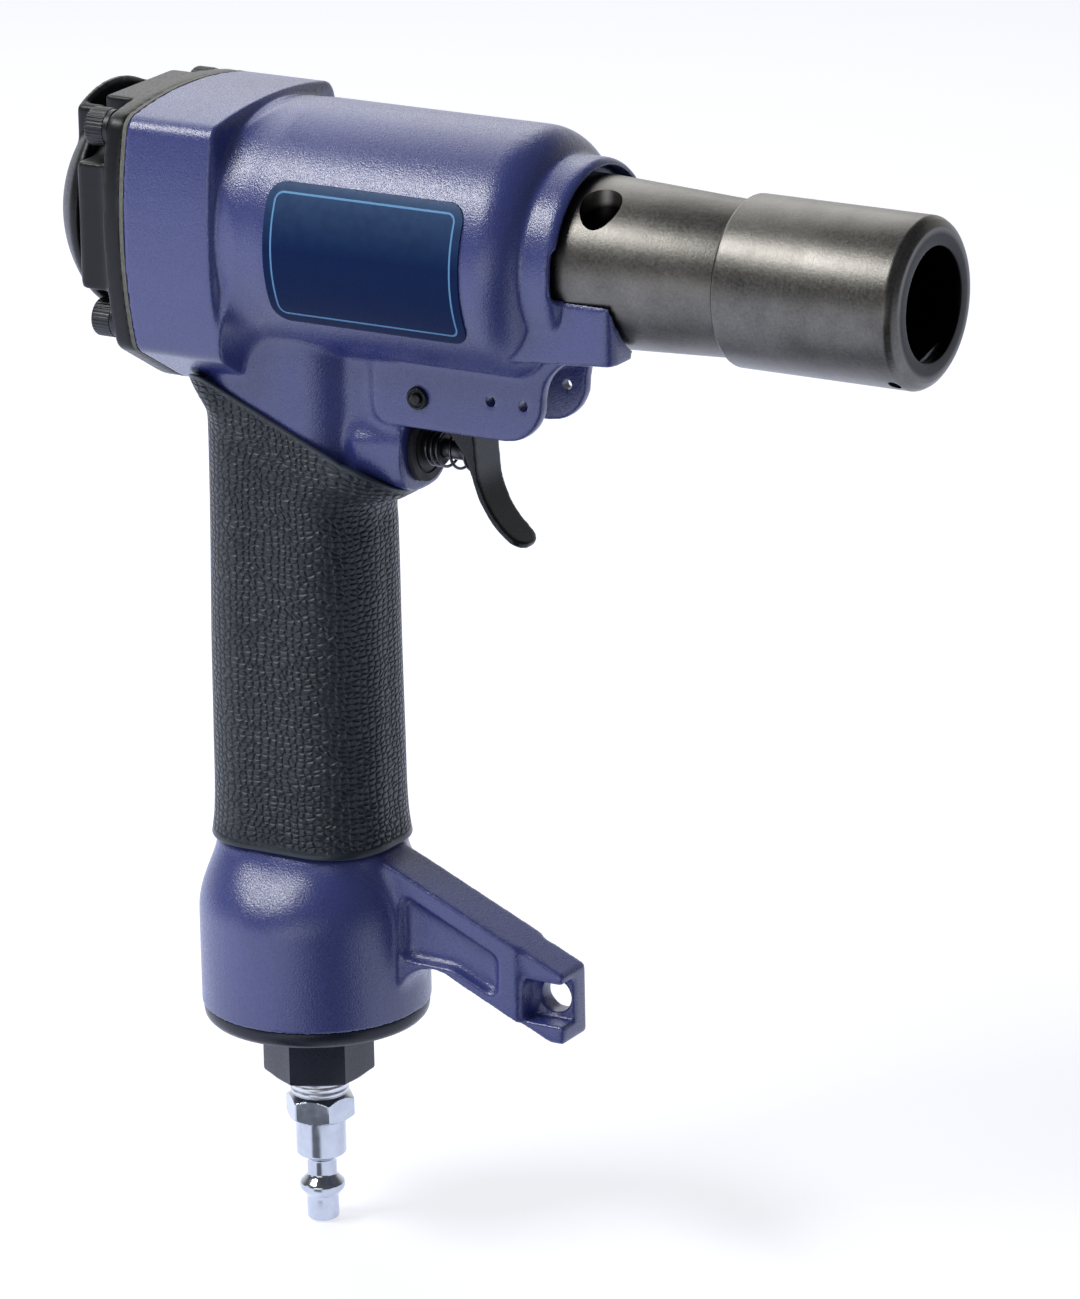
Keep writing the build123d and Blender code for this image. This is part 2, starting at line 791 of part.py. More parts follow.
# Head valve, which uncovers the back of the cylinder, with its two seals
disc_r = bore_r - slide_clearance
disc_seal_x = (head_valve_rear + head_valve_front) / 2
hub_seal_x = head_hub_rear + land_groove * 1.5
with BuildPart() as head_valve:
    with BuildSketch(across(head_valve_rear)):
        Circle(disc_r)
    extrude(amount=head_disc)
    with BuildSketch(across(head_hub_rear)):
        Circle(head_hub_r)
    extrude(amount=head_hub_length)
    with BuildSketch(across(head_hub_rear)):
        Circle(head_bore_r)
    extrude(amount=head_hub_length + head_disc, mode=Mode.SUBTRACT)
    for groove_x, groove_r in ((disc_seal_x, disc_r), (hub_seal_x, head_hub_r)):
        with BuildSketch(across(groove_x - land_groove / 2)):
            Circle(groove_r + 1)
            Circle(groove_r - groove_depth, mode=Mode.SUBTRACT)
        extrude(amount=land_groove, mode=Mode.SUBTRACT)
finish(head_valve.part, "head_valve")

with BuildPart() as head_valve_seals:
    add(seal_ring(disc_seal_x, disc_r, groove_depth))
    add(seal_ring(hub_seal_x, head_hub_r, groove_depth))
finish(head_valve_seals.part, "head_valve_seals")

# Cylinder liner: a thin tube with three lands that fit the casting's bore
land_r = bore_r - fit_clearance
land_starts = (cylinder_rear, (cylinder_rear + bore_end) / 2, bore_end - land_length)
with BuildPart() as cylinder:
    with BuildSketch(across(cylinder_rear)):
        Circle(cylinder_bore_r + cylinder_wall)
    extrude(amount=bore_end - cylinder_rear)
    for start in land_starts:
        with BuildSketch(across(start)):
            Circle(land_r)
        extrude(amount=land_length)
        with BuildSketch(across(start + (land_length - land_groove) / 2)):
            Circle(land_r + 1)
            Circle(land_r - groove_depth, mode=Mode.SUBTRACT)
        extrude(amount=land_groove, mode=Mode.SUBTRACT)
    with BuildSketch(across(cylinder_rear)):
        Circle(cylinder_bore_r)
    extrude(amount=bore_end - cylinder_rear, mode=Mode.SUBTRACT)
finish(cylinder.part, "cylinder")

with BuildPart() as cylinder_seals:
    for start in land_starts:
        add(seal_ring(start + land_length / 2, land_r, groove_depth))
finish(cylinder_seals.part, "cylinder_seals")

# Piston with its ring, and the ram that it drives
ring_rear = piston_rear + (piston_length - piston_ring_height) / 2
with BuildPart() as piston:
    with BuildSketch(across(piston_rear)):
        Circle(piston_r)
    extrude(amount=piston_length)
    with BuildSketch(across(ring_rear)):
        Circle(piston_r + 1)
        Circle(piston_r - piston_ring_depth, mode=Mode.SUBTRACT)
    extrude(amount=piston_ring_height, mode=Mode.SUBTRACT)
    with BuildSketch(across(piston_front - ram_seat)):
        Circle(ram_r + fit_clearance)
    extrude(amount=ram_seat, mode=Mode.SUBTRACT)
finish(piston.part, "piston")

with BuildPart() as piston_ring:
    with BuildSketch(across(ring_rear + slide_clearance)):
        Circle(piston_r + slide_clearance / 2)
        Circle(piston_r - piston_ring_depth + slide_clearance, mode=Mode.SUBTRACT)
    extrude(amount=piston_ring_height - 2 * slide_clearance)
finish(piston_ring.part, "piston_ring")

with BuildPart() as ram:
    with BuildSketch(across(piston_front - ram_seat)):
        Circle(ram_r)
    extrude(amount=ram_tip - piston_front + ram_seat)
    chamfer(ram.faces().sort_by(Axis.X)[-1].edges(), ram_chamfer)
finish(ram.part, "ram")

with BuildPart() as bumper:
    with BuildSketch(across(bumper_rear)):
        Circle(cylinder_bore_r - fit_clearance)
        Circle(ram_r + bumper_hole, mode=Mode.SUBTRACT)
    extrude(amount=bumper_length)
    fillet(bumper.faces().sort_by(Axis.X)[0].edges(), bumper_edge_r)
finish(bumper.part, "bumper")

# Nose tube: guides the ram and carries the sleeve
with BuildPart() as nose_tube:
    with BuildSketch(Plane.XZ):
        Polygon(
            (bore_end, guide_r),
            (bore_end, tube_spigot_r),
            (recess_end, tube_spigot_r),
            (recess_end, tube_r),
            (neck_front, tube_r),
            (tube_seat, tube_tip_r),
            (tube_seat, thread_r),
            (tube_front, thread_r),
            (tube_front, tube_mouth_r),
            (tube_front - tube_mouth_depth, guide_r),
            align=None,
        )
    revolve(axis=Axis.X)
    with BuildSketch(Plane.XY.offset(tommy_hole_floor)):
        with Locations((neck_front + tommy_hole_ahead, tommy_hole_y)):
            Circle(tommy_hole_r)
    extrude(amount=tube_r, mode=Mode.SUBTRACT)
finish(nose_tube.part, "nose_tube")

# Sleeve with its lip, which keeps a holder's collar in and lets its nose out
key_plane = Plane(
    (lip_rear, 0, 0),
    x_dir=(0, cos(radians(key_turn)), sin(radians(key_turn))),
    z_dir=(1, 0, 0),
)
key_front = -mouth_land
key_length = key_front - lip_rear
pin_plane = Plane(
    (-key_pin_back, key_pin_level * sin(radians(key_turn)), -key_pin_level * cos(radians(key_turn))),
    x_dir=(1, 0, 0),
    z_dir=(0, cos(radians(key_turn)), sin(radians(key_turn))),
)
with BuildPart() as holder_sleeve:
    with BuildSketch(Plane.XZ):
        Polygon(
            (sleeve_rear, thread_r + thread_clearance),
            (sleeve_rear, sleeve_r - sleeve_rear_chamfer),
            (sleeve_rear + sleeve_rear_chamfer, sleeve_r),
            (-sleeve_front_chamfer, sleeve_r),
            (0, sleeve_face_r),
            (0, mouth_r),
            (key_front, mouth_r),
            (key_front, mouth_r + key_bore_relief),
            (lip_rear, mouth_r + key_bore_relief),
            (lip_rear, thread_r + thread_clearance),
            align=None,
        )
    revolve(axis=Axis.X)
    with BuildSketch(key_plane):
        with Locations((0, -key_flat)):
            Rectangle(key_width + fit_clearance, key_depth + fit_clearance, align=(Align.CENTER, Align.MAX))
    extrude(amount=key_length, mode=Mode.SUBTRACT)
    with BuildSketch(pin_plane):
        Circle(key_pin_r + fit_clearance / 2)
    extrude(amount=-sleeve_r, mode=Mode.SUBTRACT)
finish(holder_sleeve.part, "holder_sleeve")

with BuildPart() as index_key:
    with BuildSketch(key_plane):
        with Locations((0, -key_flat)):
            Rectangle(key_width, key_depth, align=(Align.CENTER, Align.MAX))
    extrude(amount=key_length)
    with BuildSketch(pin_plane):
        Circle(key_pin_r + fit_clearance / 2)
    extrude(amount=-sleeve_r, mode=Mode.SUBTRACT)
finish(index_key.part, "index_key")

pin_chord = sqrt(sleeve_r ** 2 - key_pin_level ** 2)
with BuildPart() as key_pin:
    with BuildSketch(pin_plane):
        Circle(key_pin_r)
    extrude(amount=-(pin_chord - 2 * key_pin_r))
finish(key_pin.part, "key_pin")

# Rubber grip over the handle core, its top end fitted under the throat
lean = cos(radians(throat_tilt))
throat_floor = -throat_drop - throat_r / lean
lip_middle = (grip_lip_front - grip_lip_rear) / 2
lip_span = (grip_lip_front + grip_lip_rear) / lean
grip_sections = (
    (level(grip_end_z), 0, grip_length + grip_foot_flare, grip_width + grip_foot_flare),
    (
        level(grip_end_z + grip_lip_height),
        0,
        grip_length + grip_foot_flare / 2,
        grip_width + grip_foot_flare / 2,
    ),
    (level(2 * throat_floor), 0, grip_length, grip_width),
    (
        slanted(throat_floor - 5 * grip_lip_height, throat_tilt / 2),
        0,
        grip_length - grip_top_taper,
        grip_width,
    ),
    (
        slanted(throat_floor - grip_lip_height, throat_tilt),
        0,
        grip_length / lean,
        grip_width - grip_top_taper,
    ),
    (slanted(throat_floor, throat_tilt), lip_middle, lip_span, grip_width - grip_top_taper / 2),
    (
        slanted(throat_floor + 2 * grip_lip_height, throat_tilt),
        lip_middle,
        lip_span + grip_lip_height,
        grip_width + grip_top_taper,
    ),
)
with BuildPart() as grip:
    for plane, ahead, long_side, wide_side in grip_sections:
        with BuildSketch(plane):
            with Locations((ahead, 0)):
                RectangleRounded(long_side, wide_side, grip_corner)
    loft(ruled=True)
    with BuildSketch(across(flange_rear - seat_gap)):
        add(rear_outline.sketch)
        offset(amount=seat_gap)
    extrude(amount=flange_length + 2 * seat_gap, mode=Mode.SUBTRACT)
    with BuildSketch(throat_axis):
        Circle(throat_r + seat_gap)
    extrude(amount=2 * throat_reach, both=True, mode=Mode.SUBTRACT)
    with BuildSketch(level(grip_end_z)):
        RectangleRounded(core_length, core_width, core_corner)
        offset(amount=fit_clearance)
    extrude(amount=-grip_end_z, mode=Mode.SUBTRACT)
    with BuildSketch(across(handle_x)):
        with Locations((0, valve_z)):
            Circle(valve_block_r + seat_gap)
    extrude(amount=valve_block_reach, mode=Mode.SUBTRACT)
finish(grip.part, "grip")

# Trigger: a bent plate with side flanges that reach back to the pin
top_point = (pivot_x + trigger_top_x, pivot_z + trigger_top_z)
knee_point = (pivot_x + trigger_knee_x, pivot_z + trigger_knee_z)
tip_point = (pivot_x + trigger_tip_x, pivot_z + trigger_tip_z)
with BuildPart() as trigger:
    with BuildSketch(Plane.XZ):
        with BuildLine():
            plate = Line(top_point, knee_point)
            TangentArc(plate @ 1, tip_point, tangent=plate % 1)
            offset(amount=trigger_web, side=Side.RIGHT)
        make_face()
    extrude(amount=trigger_half_width, both=True)
    with BuildSketch(across(pivot_x)):
        Polygon(
            (-trigger_half_width, top_point[1] + lug_r),
            (trigger_half_width, top_point[1] + lug_r),
            (trigger_half_width, knee_point[1]),
            (trigger_tip_half_width, tip_point[1] - lug_r),
            (-trigger_tip_half_width, tip_point[1] - lug_r),
            (-trigger_half_width, knee_point[1]),
            align=None,
        )
    extrude(amount=trigger_tip_x + lug_r, mode=Mode.INTERSECT)
    tip_edges = trigger.edges().filter_by(lambda e: abs(e.length - trigger_web) < 0.01)
    fillet(tip_edges.sort_by(Axis.Z)[0:2], trigger_tip_r)
    for side in (trigger_half_width, -trigger_half_width + trigger_sheet):
        with BuildSketch(Plane.XZ.offset(side)):
            with Locations((pivot_x, pivot_z)):
                Circle(lug_r)
                Polygon(
                    (0, lug_r),
                    (trigger_top_x, trigger_top_z),
                    (trigger_knee_x - trigger_web / 2, trigger_knee_z),
                    (flange_low_x, flange_low_drop),
                    (flange_rear_x, flange_rear_z),
                    (0, -lug_r),
                    align=None,
                )
                Circle(pin_r + slide_clearance, mode=Mode.SUBTRACT)
        extrude(amount=-trigger_sheet)
finish(trigger.part, "trigger")

with BuildPart() as trigger_pin:
    with BuildSketch(Plane.XZ.offset(ear_outer)):
        with Locations((pivot_x, pivot_z)):
            Circle(pin_r)
    extrude(amount=-2 * ear_outer - 2 * clip_thickness - clip_groove)
    with BuildSketch(Plane.XZ.offset(ear_outer)):
        with Locations((pivot_x, pivot_z)):
            Circle(pin_head_r)
    extrude(amount=pin_head)
    with BuildSketch(Plane.XZ.offset(ear_outer + pin_head)):
        with Locations((pivot_x, pivot_z)):
            Circle(pin_button_r)
    extrude(amount=pin_button)
    with BuildSketch(Plane.XZ.offset(-ear_outer - seat_gap / 2)):
        with Locations((pivot_x, pivot_z)):
            Circle(pin_r + 1)
            Circle(pin_r - clip_groove, mode=Mode.SUBTRACT)
    extrude(amount=-clip_thickness - seat_gap / 2, mode=Mode.SUBTRACT)
finish(trigger_pin.part, "trigger_pin")

with BuildPart() as trigger_pin_clip:
    with BuildSketch(Plane.XZ.offset(-ear_outer - seat_gap / 2)):
        with Locations((pivot_x, pivot_z)):
            Circle(clip_r)
            Circle(pin_r - clip_groove + fit_clearance, mode=Mode.SUBTRACT)
            with Locations((0, -clip_r)):
                Rectangle(2 * (pin_r - clip_groove), 2 * clip_r, mode=Mode.SUBTRACT)
    extrude(amount=-clip_thickness)
finish(trigger_pin_clip.part, "trigger_pin_clip")

with BuildPart() as trigger_spacers:
    for side in (ear_inner - seat_gap, -trigger_half_width - seat_gap):
        with BuildSketch(Plane.XZ.offset(side)):
            with Locations((pivot_x, pivot_z)):
                Circle(lug_r - trigger_sheet)
                Circle(pin_r + fit_clearance, mode=Mode.SUBTRACT)
        extrude(amount=-(ear_inner - trigger_half_width - 2 * seat_gap))
finish(trigger_spacers.part, "trigger_spacers")

# Trigger valve: body with a flange, two seals and a stem that the trigger pushes
valve_rear = block_front - valve_body_length
valve_seals_x = (valve_rear + valve_ring_inset, block_front - valve_ring_inset)
valve_centre = Plane((0, 0, valve_z), x_dir=(0, 1, 0), z_dir=(1, 0, 0))
with BuildPart() as trigger_valve_body:
    with BuildSketch(valve_centre.offset(valve_rear)):
        Circle(valve_body_r)
    extrude(amount=valve_body_length)
    with BuildSketch(valve_centre.offset(block_front)):
        Circle(valve_flange_r)
    extrude(amount=valve_flange)
    with BuildSketch(valve_centre.offset(valve_front)):
        Circle(valve_boss_r)
    extrude(amount=valve_boss)
    with BuildSketch(valve_centre.offset(valve_front)):
        Circle(valve_groove_r)
        Circle(valve_groove_r - valve_groove_width, mode=Mode.SUBTRACT)
    extrude(amount=-valve_groove_depth, mode=Mode.SUBTRACT)
    for ring_x in valve_seals_x:
        with BuildSketch(valve_centre.offset(ring_x - land_groove / 2)):
            Circle(valve_body_r + 1)
            Circle(valve_body_r - groove_depth, mode=Mode.SUBTRACT)
        extrude(amount=land_groove, mode=Mode.SUBTRACT)
    with BuildSketch(valve_centre.offset(valve_rear)):
        Circle(stem_r + slide_clearance)
    extrude(amount=valve_body_length + valve_flange + valve_boss, mode=Mode.SUBTRACT)
finish(trigger_valve_body.part, "trigger_valve_body")

with BuildPart() as trigger_valve_seals:
    for ring_x in valve_seals_x:
        with Locations(valve_centre.offset(ring_x)):
            Torus(valve_body_r - groove_depth / 2, groove_depth / 2 - slide_clearance / 2)
finish(trigger_valve_seals.part, "trigger_valve_seals")

plate_lean = (trigger_knee_x - trigger_top_x) / (trigger_top_z - trigger_knee_z)
plate_front = top_point[0] + plate_lean * (top_point[1] - valve_z)
plate_back = plate_front - trigger_web * sqrt(1 + plate_lean ** 2)
stem_lever = pivot_z - valve_z
with BuildPart() as valve_stem:
    with BuildSketch(valve_centre.offset(block_front - stem_tail)):
        Circle(stem_r)
    extrude(amount=plate_back - seat_gap - block_front + stem_tail)
    fillet(valve_stem.faces().sort_by(Axis.X)[-1].edges(), stem_dome)
finish(valve_stem.part, "valve_stem")


def coil(start_x, radius, axis_z, close_turns, close_pitch, open_turns, open_pitch):
    """Wire of a coil about an axis along X: quarter turns, each of two arcs with one shared tangent."""

    def along(turn):
        close = min(turn, close_turns)
        return close * close_pitch + (turn - close) * open_pitch

    def place(turn):
        angle = 2 * pi * turn
        return Vector(start_x + along(turn), radius * cos(angle), axis_z + radius * sin(angle))

    def heading(turn):
        angle = 2 * pi * turn
        rise = (along(turn + 0.05) - along(max(turn - 0.05, 0))) / (0.05 + min(turn, 0.05))
        return Vector(rise, -2 * pi * radius * sin(angle), 2 * pi * radius * cos(angle)).normalized()

    with BuildLine() as path:
        for quarter in range(round(4 * (close_turns + open_turns))):
            first = place(quarter / 4)
            last = place(quarter / 4 + 0.25)
            first_way = heading(quarter / 4)
            last_way = heading(quarter / 4 + 0.25)
            gap = last - first
            both_ways = first_way + last_way
            bend = 2 * (1 - first_way.dot(last_way))
            reach = (sqrt(gap.dot(both_ways) ** 2 + bend * gap.dot(gap)) - gap.dot(both_ways)) / bend
            middle = (first + first_way * reach + last - last_way * reach) * 0.5
            lead = TangentArc(first, middle, tangent=first_way)
            TangentArc(middle, last, tangent=lead % 1)
    return path.wire()


def coil_gap(path, turns, wire_diameter):
    """Least gap between one turn of a coil and the next, measured on points along it."""
    per_turn = 40
    count = round(per_turn * turns)
    spots = [path.position_at(i / count) for i in range(count + 1)]
    gaps = [
        (spots[i] - spots[j]).length
        for i in range(count + 1)
        for j in range(i + per_turn // 2, count + 1)
    ]
    return min(gaps) - wire_diameter


# Springs: behind the trigger, and behind the head valve
spring_start = valve_front + fit_clearance + spring_wire / 2
spring_room = plate_back - fit_clearance - spring_wire / 2 - spring_start
open_pitch = (spring_room - spring_close_turns * spring_close_pitch) / spring_open_turns
trigger_coil = coil(
    spring_start, spring_r, valve_z, spring_close_turns, spring_close_pitch, spring_open_turns, open_pitch
)
with BuildPart() as trigger_spring:
    with BuildSketch(Plane(trigger_coil @ 0, z_dir=trigger_coil % 0)):
        Circle(spring_wire / 2)
    sweep(path=trigger_coil)
finish(trigger_spring.part, "trigger_spring")

head_spring_start = boss_rear + cap_back_wall + fit_clearance + head_spring_wire / 2
head_spring_room = head_hub_rear - fit_clearance - head_spring_wire / 2 - head_spring_start
head_coil = coil(
    head_spring_start, head_spring_r, 0, 0, 0, head_spring_turns, head_spring_room / head_spring_turns
)
with BuildPart() as head_valve_spring:
    with BuildSketch(Plane(head_coil @ 0, z_dir=head_coil % 0)):
        Circle(head_spring_wire / 2)
    sweep(path=head_coil)
finish(head_valve_spring.part, "head_valve_spring")

# End cap screwed into the bell, with a hexagon for a spanner
with BuildPart() as end_cap:
    with BuildSketch(level(end_ring_z)):
        Circle(end_ring_r)
    extrude(amount=end_ring)
    with BuildSketch(level(bell_end_z)):
        Circle(cavity_r - fit_clearance)
    extrude(amount=end_spigot_length)
    with BuildSketch(level(end_hex_z)):
        RegularPolygon(end_hex_across / 2, 6, major_radius=False, rotation=30)
    extrude(amount=end_hex_height)
    with BuildSketch(level(bell_end_z + end_seal_inset)):
        Circle(cavity_r + 1)
        Circle(cavity_r - fit_clearance - groove_depth, mode=Mode.SUBTRACT)
    extrude(amount=land_groove, mode=Mode.SUBTRACT)
    with BuildSketch(level(end_hex_z)):
        Circle(plug_thread_r + thread_clearance)
    extrude(amount=end_hex_height + end_ring + end_spigot_length, mode=Mode.SUBTRACT)
finish(end_cap.part, "end_cap")

with BuildPart() as end_cap_seal:
    with Locations(level(bell_end_z + end_seal_inset + land_groove / 2)):
        Torus(cavity_r - fit_clearance - groove_depth / 2, groove_depth / 2 - slide_clearance / 2)
finish(end_cap_seal.part, "end_cap_seal")

# Air plug for a quick coupler, and the tape on its thread
with BuildPart() as air_plug:
    with BuildSketch(Plane.XZ.move(Location((handle_x, 0, 0)))):
        Polygon(
            (0, plug_hex_top + plug_thread_length),
            (plug_thread_r, plug_hex_top + plug_thread_length),
            (plug_thread_r, plug_hex_top),
            (plug_body_r, plug_hex_top),
            (plug_body_r, plug_body_z),
            (plug_groove_r, plug_body_z - plug_chamfer),
            (plug_groove_r, plug_groove_z),
            (plug_collar_r, (plug_groove_z + plug_collar_z) / 2 + plug_collar / 8),
            (plug_collar_r, (plug_groove_z + plug_collar_z) / 2 - plug_collar / 8),
            (plug_nose_r, plug_collar_z),
            (plug_nose_r, plug_tip_z + plug_chamfer / 3),
            (plug_nose_r - plug_chamfer / 3, plug_tip_z),
            (0, plug_tip_z),
            align=None,
        )
    revolve(axis=Axis((handle_x, 0, 0), (0, 0, 1)))
    with BuildSketch(level(plug_hex_z)):
        RegularPolygon(plug_hex_across / 2, 6, major_radius=False, rotation=plug_hex_turn)
    extrude(amount=plug_hex_height)
    with BuildSketch(level(plug_tip_z)):
        Circle(plug_bore_r)
    extrude(amount=plug_hex_top + plug_thread_length - plug_tip_z, mode=Mode.SUBTRACT)
finish(air_plug.part, "air_plug")

with BuildPart() as thread_tape:
    with BuildSketch(level(plug_hex_top + fit_clearance)):
        Circle(plug_thread_r + tape_thickness)
        Circle(plug_thread_r + fit_clearance / 2, mode=Mode.SUBTRACT)
    extrude(amount=plug_thread_gap - 2 * fit_clearance)
finish(thread_tape.part, "thread_tape")

# Plain label plate wrapped on the barrel's right side
with BuildPart() as label_plate:
    with BuildSketch(across(handle_x + label_rear)):
        Circle(barrel_r + label_thickness)
        Circle(barrel_r, mode=Mode.SUBTRACT)
    extrude(amount=label_length)
    with BuildSketch(Plane.XZ):
        with Locations((handle_x + label_rear + label_length / 2, (label_low + label_high) / 2)):
            RectangleRounded(label_length, label_high - label_low, label_corner_r)
    extrude(amount=barrel_r + 2 * label_thickness, mode=Mode.INTERSECT)
finish(label_plate.part, "label_plate")

print("hammer stroke", round(hammer_stroke, 3))
print("head valve travel", head_travel)
print("stem lever", round(stem_lever, 3))
print("trigger pivot", round(pivot_x, 3), pivot_z)
spring_turns = spring_close_turns + spring_open_turns
print("trigger spring gap", round(coil_gap(trigger_coil, spring_turns, spring_wire), 3))
print("head valve spring gap", round(coil_gap(head_coil, head_spring_turns, head_spring_wire), 3))
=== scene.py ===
"""Dresses a pneumatic stamping hammer: casting, rubber grip, turned nose, trigger group and air plug."""

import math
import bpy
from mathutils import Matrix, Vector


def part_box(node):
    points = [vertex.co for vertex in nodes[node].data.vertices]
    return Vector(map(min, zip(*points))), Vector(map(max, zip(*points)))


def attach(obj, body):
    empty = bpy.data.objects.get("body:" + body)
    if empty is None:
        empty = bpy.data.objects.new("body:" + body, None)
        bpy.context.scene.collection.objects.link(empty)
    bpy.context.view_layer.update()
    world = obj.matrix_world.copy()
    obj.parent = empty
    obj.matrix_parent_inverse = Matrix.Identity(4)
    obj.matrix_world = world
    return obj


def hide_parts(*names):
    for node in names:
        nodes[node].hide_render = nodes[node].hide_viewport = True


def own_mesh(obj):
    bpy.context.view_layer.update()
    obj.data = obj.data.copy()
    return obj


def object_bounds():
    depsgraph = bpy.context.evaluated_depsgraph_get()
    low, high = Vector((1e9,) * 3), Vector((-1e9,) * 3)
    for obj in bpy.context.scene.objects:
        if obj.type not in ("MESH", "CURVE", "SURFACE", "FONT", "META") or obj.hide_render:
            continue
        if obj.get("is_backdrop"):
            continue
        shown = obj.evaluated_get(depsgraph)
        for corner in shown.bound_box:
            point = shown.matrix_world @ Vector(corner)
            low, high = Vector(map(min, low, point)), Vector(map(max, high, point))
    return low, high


bl_info = {
    "name": "Pneumatic Stamping Hammer",
    "version": (1, 0, 0),
    "blender": (4, 5, 0),
    "location": "View3D > Sidebar > Hammer",
    "description": "Dresses the packed hammer with cast, rubber and steel finishes and sets up its studio",
    "category": "Object",
}

import bmesh
import bpy
import numpy as np
from mathutils import Matrix, Vector

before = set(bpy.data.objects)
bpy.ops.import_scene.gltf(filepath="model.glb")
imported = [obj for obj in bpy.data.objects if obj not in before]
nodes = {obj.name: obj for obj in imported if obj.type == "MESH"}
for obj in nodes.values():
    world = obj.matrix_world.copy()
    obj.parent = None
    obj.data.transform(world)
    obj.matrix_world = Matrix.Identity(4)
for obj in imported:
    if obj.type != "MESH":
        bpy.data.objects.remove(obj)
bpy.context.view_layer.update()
MM = 0.001


def span(node, axis):
    """Lowest and highest place of a CAD node along an axis, in millimetres."""
    low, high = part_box(node)
    return low[axis] / MM, high[axis] / MM


HANDLE_X = sum(span("thread_tape", 0)) / 2
PIVOT_X = sum(span("trigger_pin", 0)) / 2
PIVOT_Z = sum(span("trigger_pin", 2)) / 2
VALVE_Z = sum(span("trigger_valve_body", 2)) / 2
# Points on the axes of the barrel and the handle, and the two axes square to each axis
BARREL = (0.0, 0.0, 0.0)
HANDLE = (HANDLE_X, 0.0, 0.0)
SQUARE_TO = ((1, 2), (2, 0), (0, 1))


def colour(name, description, default):
    """Property for a linear colour."""
    return bpy.props.FloatVectorProperty(
        name=name, description=description, default=default, subtype="COLOR", size=3, min=0.0, max=1.0
    )


def length(name, description, default):
    """Property for a length in metres."""
    return bpy.props.FloatProperty(
        name=name, description=description, default=default, min=0.0, unit="LENGTH", precision=5
    )


def bearing(name, description, degrees):
    """Property for an angle."""
    return bpy.props.FloatProperty(
        name=name, description=description, default=math.radians(degrees), subtype="ANGLE"
    )


def power(name, description, default):
    """Property for the strength of a light."""
    return bpy.props.FloatProperty(name=name, description=description, default=default, min=0.0)


def count(name, description, default):
    """Property for a number of things."""
    return bpy.props.IntProperty(name=name, description=description, default=default, min=1)


class HammerFinish(bpy.types.PropertyGroup):
    """Colours of the hammer's finishes."""

    paint: colour("Paint", "Blue-violet paint of the casting", (0.042, 0.056, 0.228))
    paint_deep: colour("Paint in hollows", "Darker shade where the paint lies thick", (0.036, 0.048, 0.196))
    black: colour("Black paint", "Rear cap, deflector and trigger", (0.0030, 0.0036, 0.0046))
    rubber: colour("Rubber", "Top of the grip's pebbles", (0.018, 0.026, 0.035))
    # Painted shade: darker colour laid in the valleys between the grip's pebbles
    rubber_painted_shade: colour("Rubber valleys", "Between the grip's pebbles", (0.011, 0.015, 0.020))
    steel: colour("Turned steel", "Tube and sleeve", (0.150, 0.144, 0.132))
    oxide: colour("Black oxide", "Cap screws, their washers and the deflector's screw", (0.050, 0.051, 0.054))
    zinc: colour("Zinc plate", "Air plug", (0.540, 0.570, 0.620))
    navy: colour("Navy plate", "Label plate", (0.005, 0.020, 0.088))
    # Painted reflection: paler navy towards the label plate's top, standing in for light reflected there
    navy_painted_reflection: colour("Navy at the top", "Paler navy at the label plate's top", (0.050, 0.095, 0.195))
    border: colour("Border line", "Thin line inset from the label plate's edge", (0.170, 0.390, 0.680))
    hex_paint: colour("End cap paint", "Navy-black hexagon and ring", (0.010, 0.012, 0.022))
    fibre: colour("Gasket", "Fibre sheet", (0.190, 0.190, 0.160))


class HammerSizes(bpy.types.PropertyGroup):
    """Sizes of surface detail that the solids leave out."""

    cast_cell: length("Casting cell", "Cell of the casting's skin", 0.00052)
    cast_passes: count("Casting passes", "How far the casting's inside corners fill", 60)
    pebble: length("Pebble", "Width of one pebble of the grip", 0.0019)
    knurls: count("Knurls", "Ridges round a screw head", 34)
    edge: length("Turned edge", "Rounding of edges on turned steel", 0.0004)


class HammerStudio(bpy.types.PropertyGroup):
    """Camera and light."""

    azimuth: bearing("Azimuth", "Camera's turn to the front", 30.68)
    elevation: bearing("Elevation", "Camera's height angle", 17.956)
    roll: bearing("Roll", "Camera's lean", -1.121)
    distance: length("Distance", "From the camera to the point it looks at", 1.7419)
    lens: bpy.props.FloatProperty(
        name="Lens", description="Focal length on a 36 mm sensor", default=216.14, subtype="DISTANCE_CAMERA"
    )
    key: power("Key light", "Softbox above the label's side", 14.5)
    top: power("Top light", "Softbox above the far side", 6.8)
    fill: power("Fill light", "Low card on the label's side", 2.0)
    side: power("Side light", "Low softbox towards the rear", 0.6)
    world: power("Room light", "Strength of the room", 1.0)


# Node trees


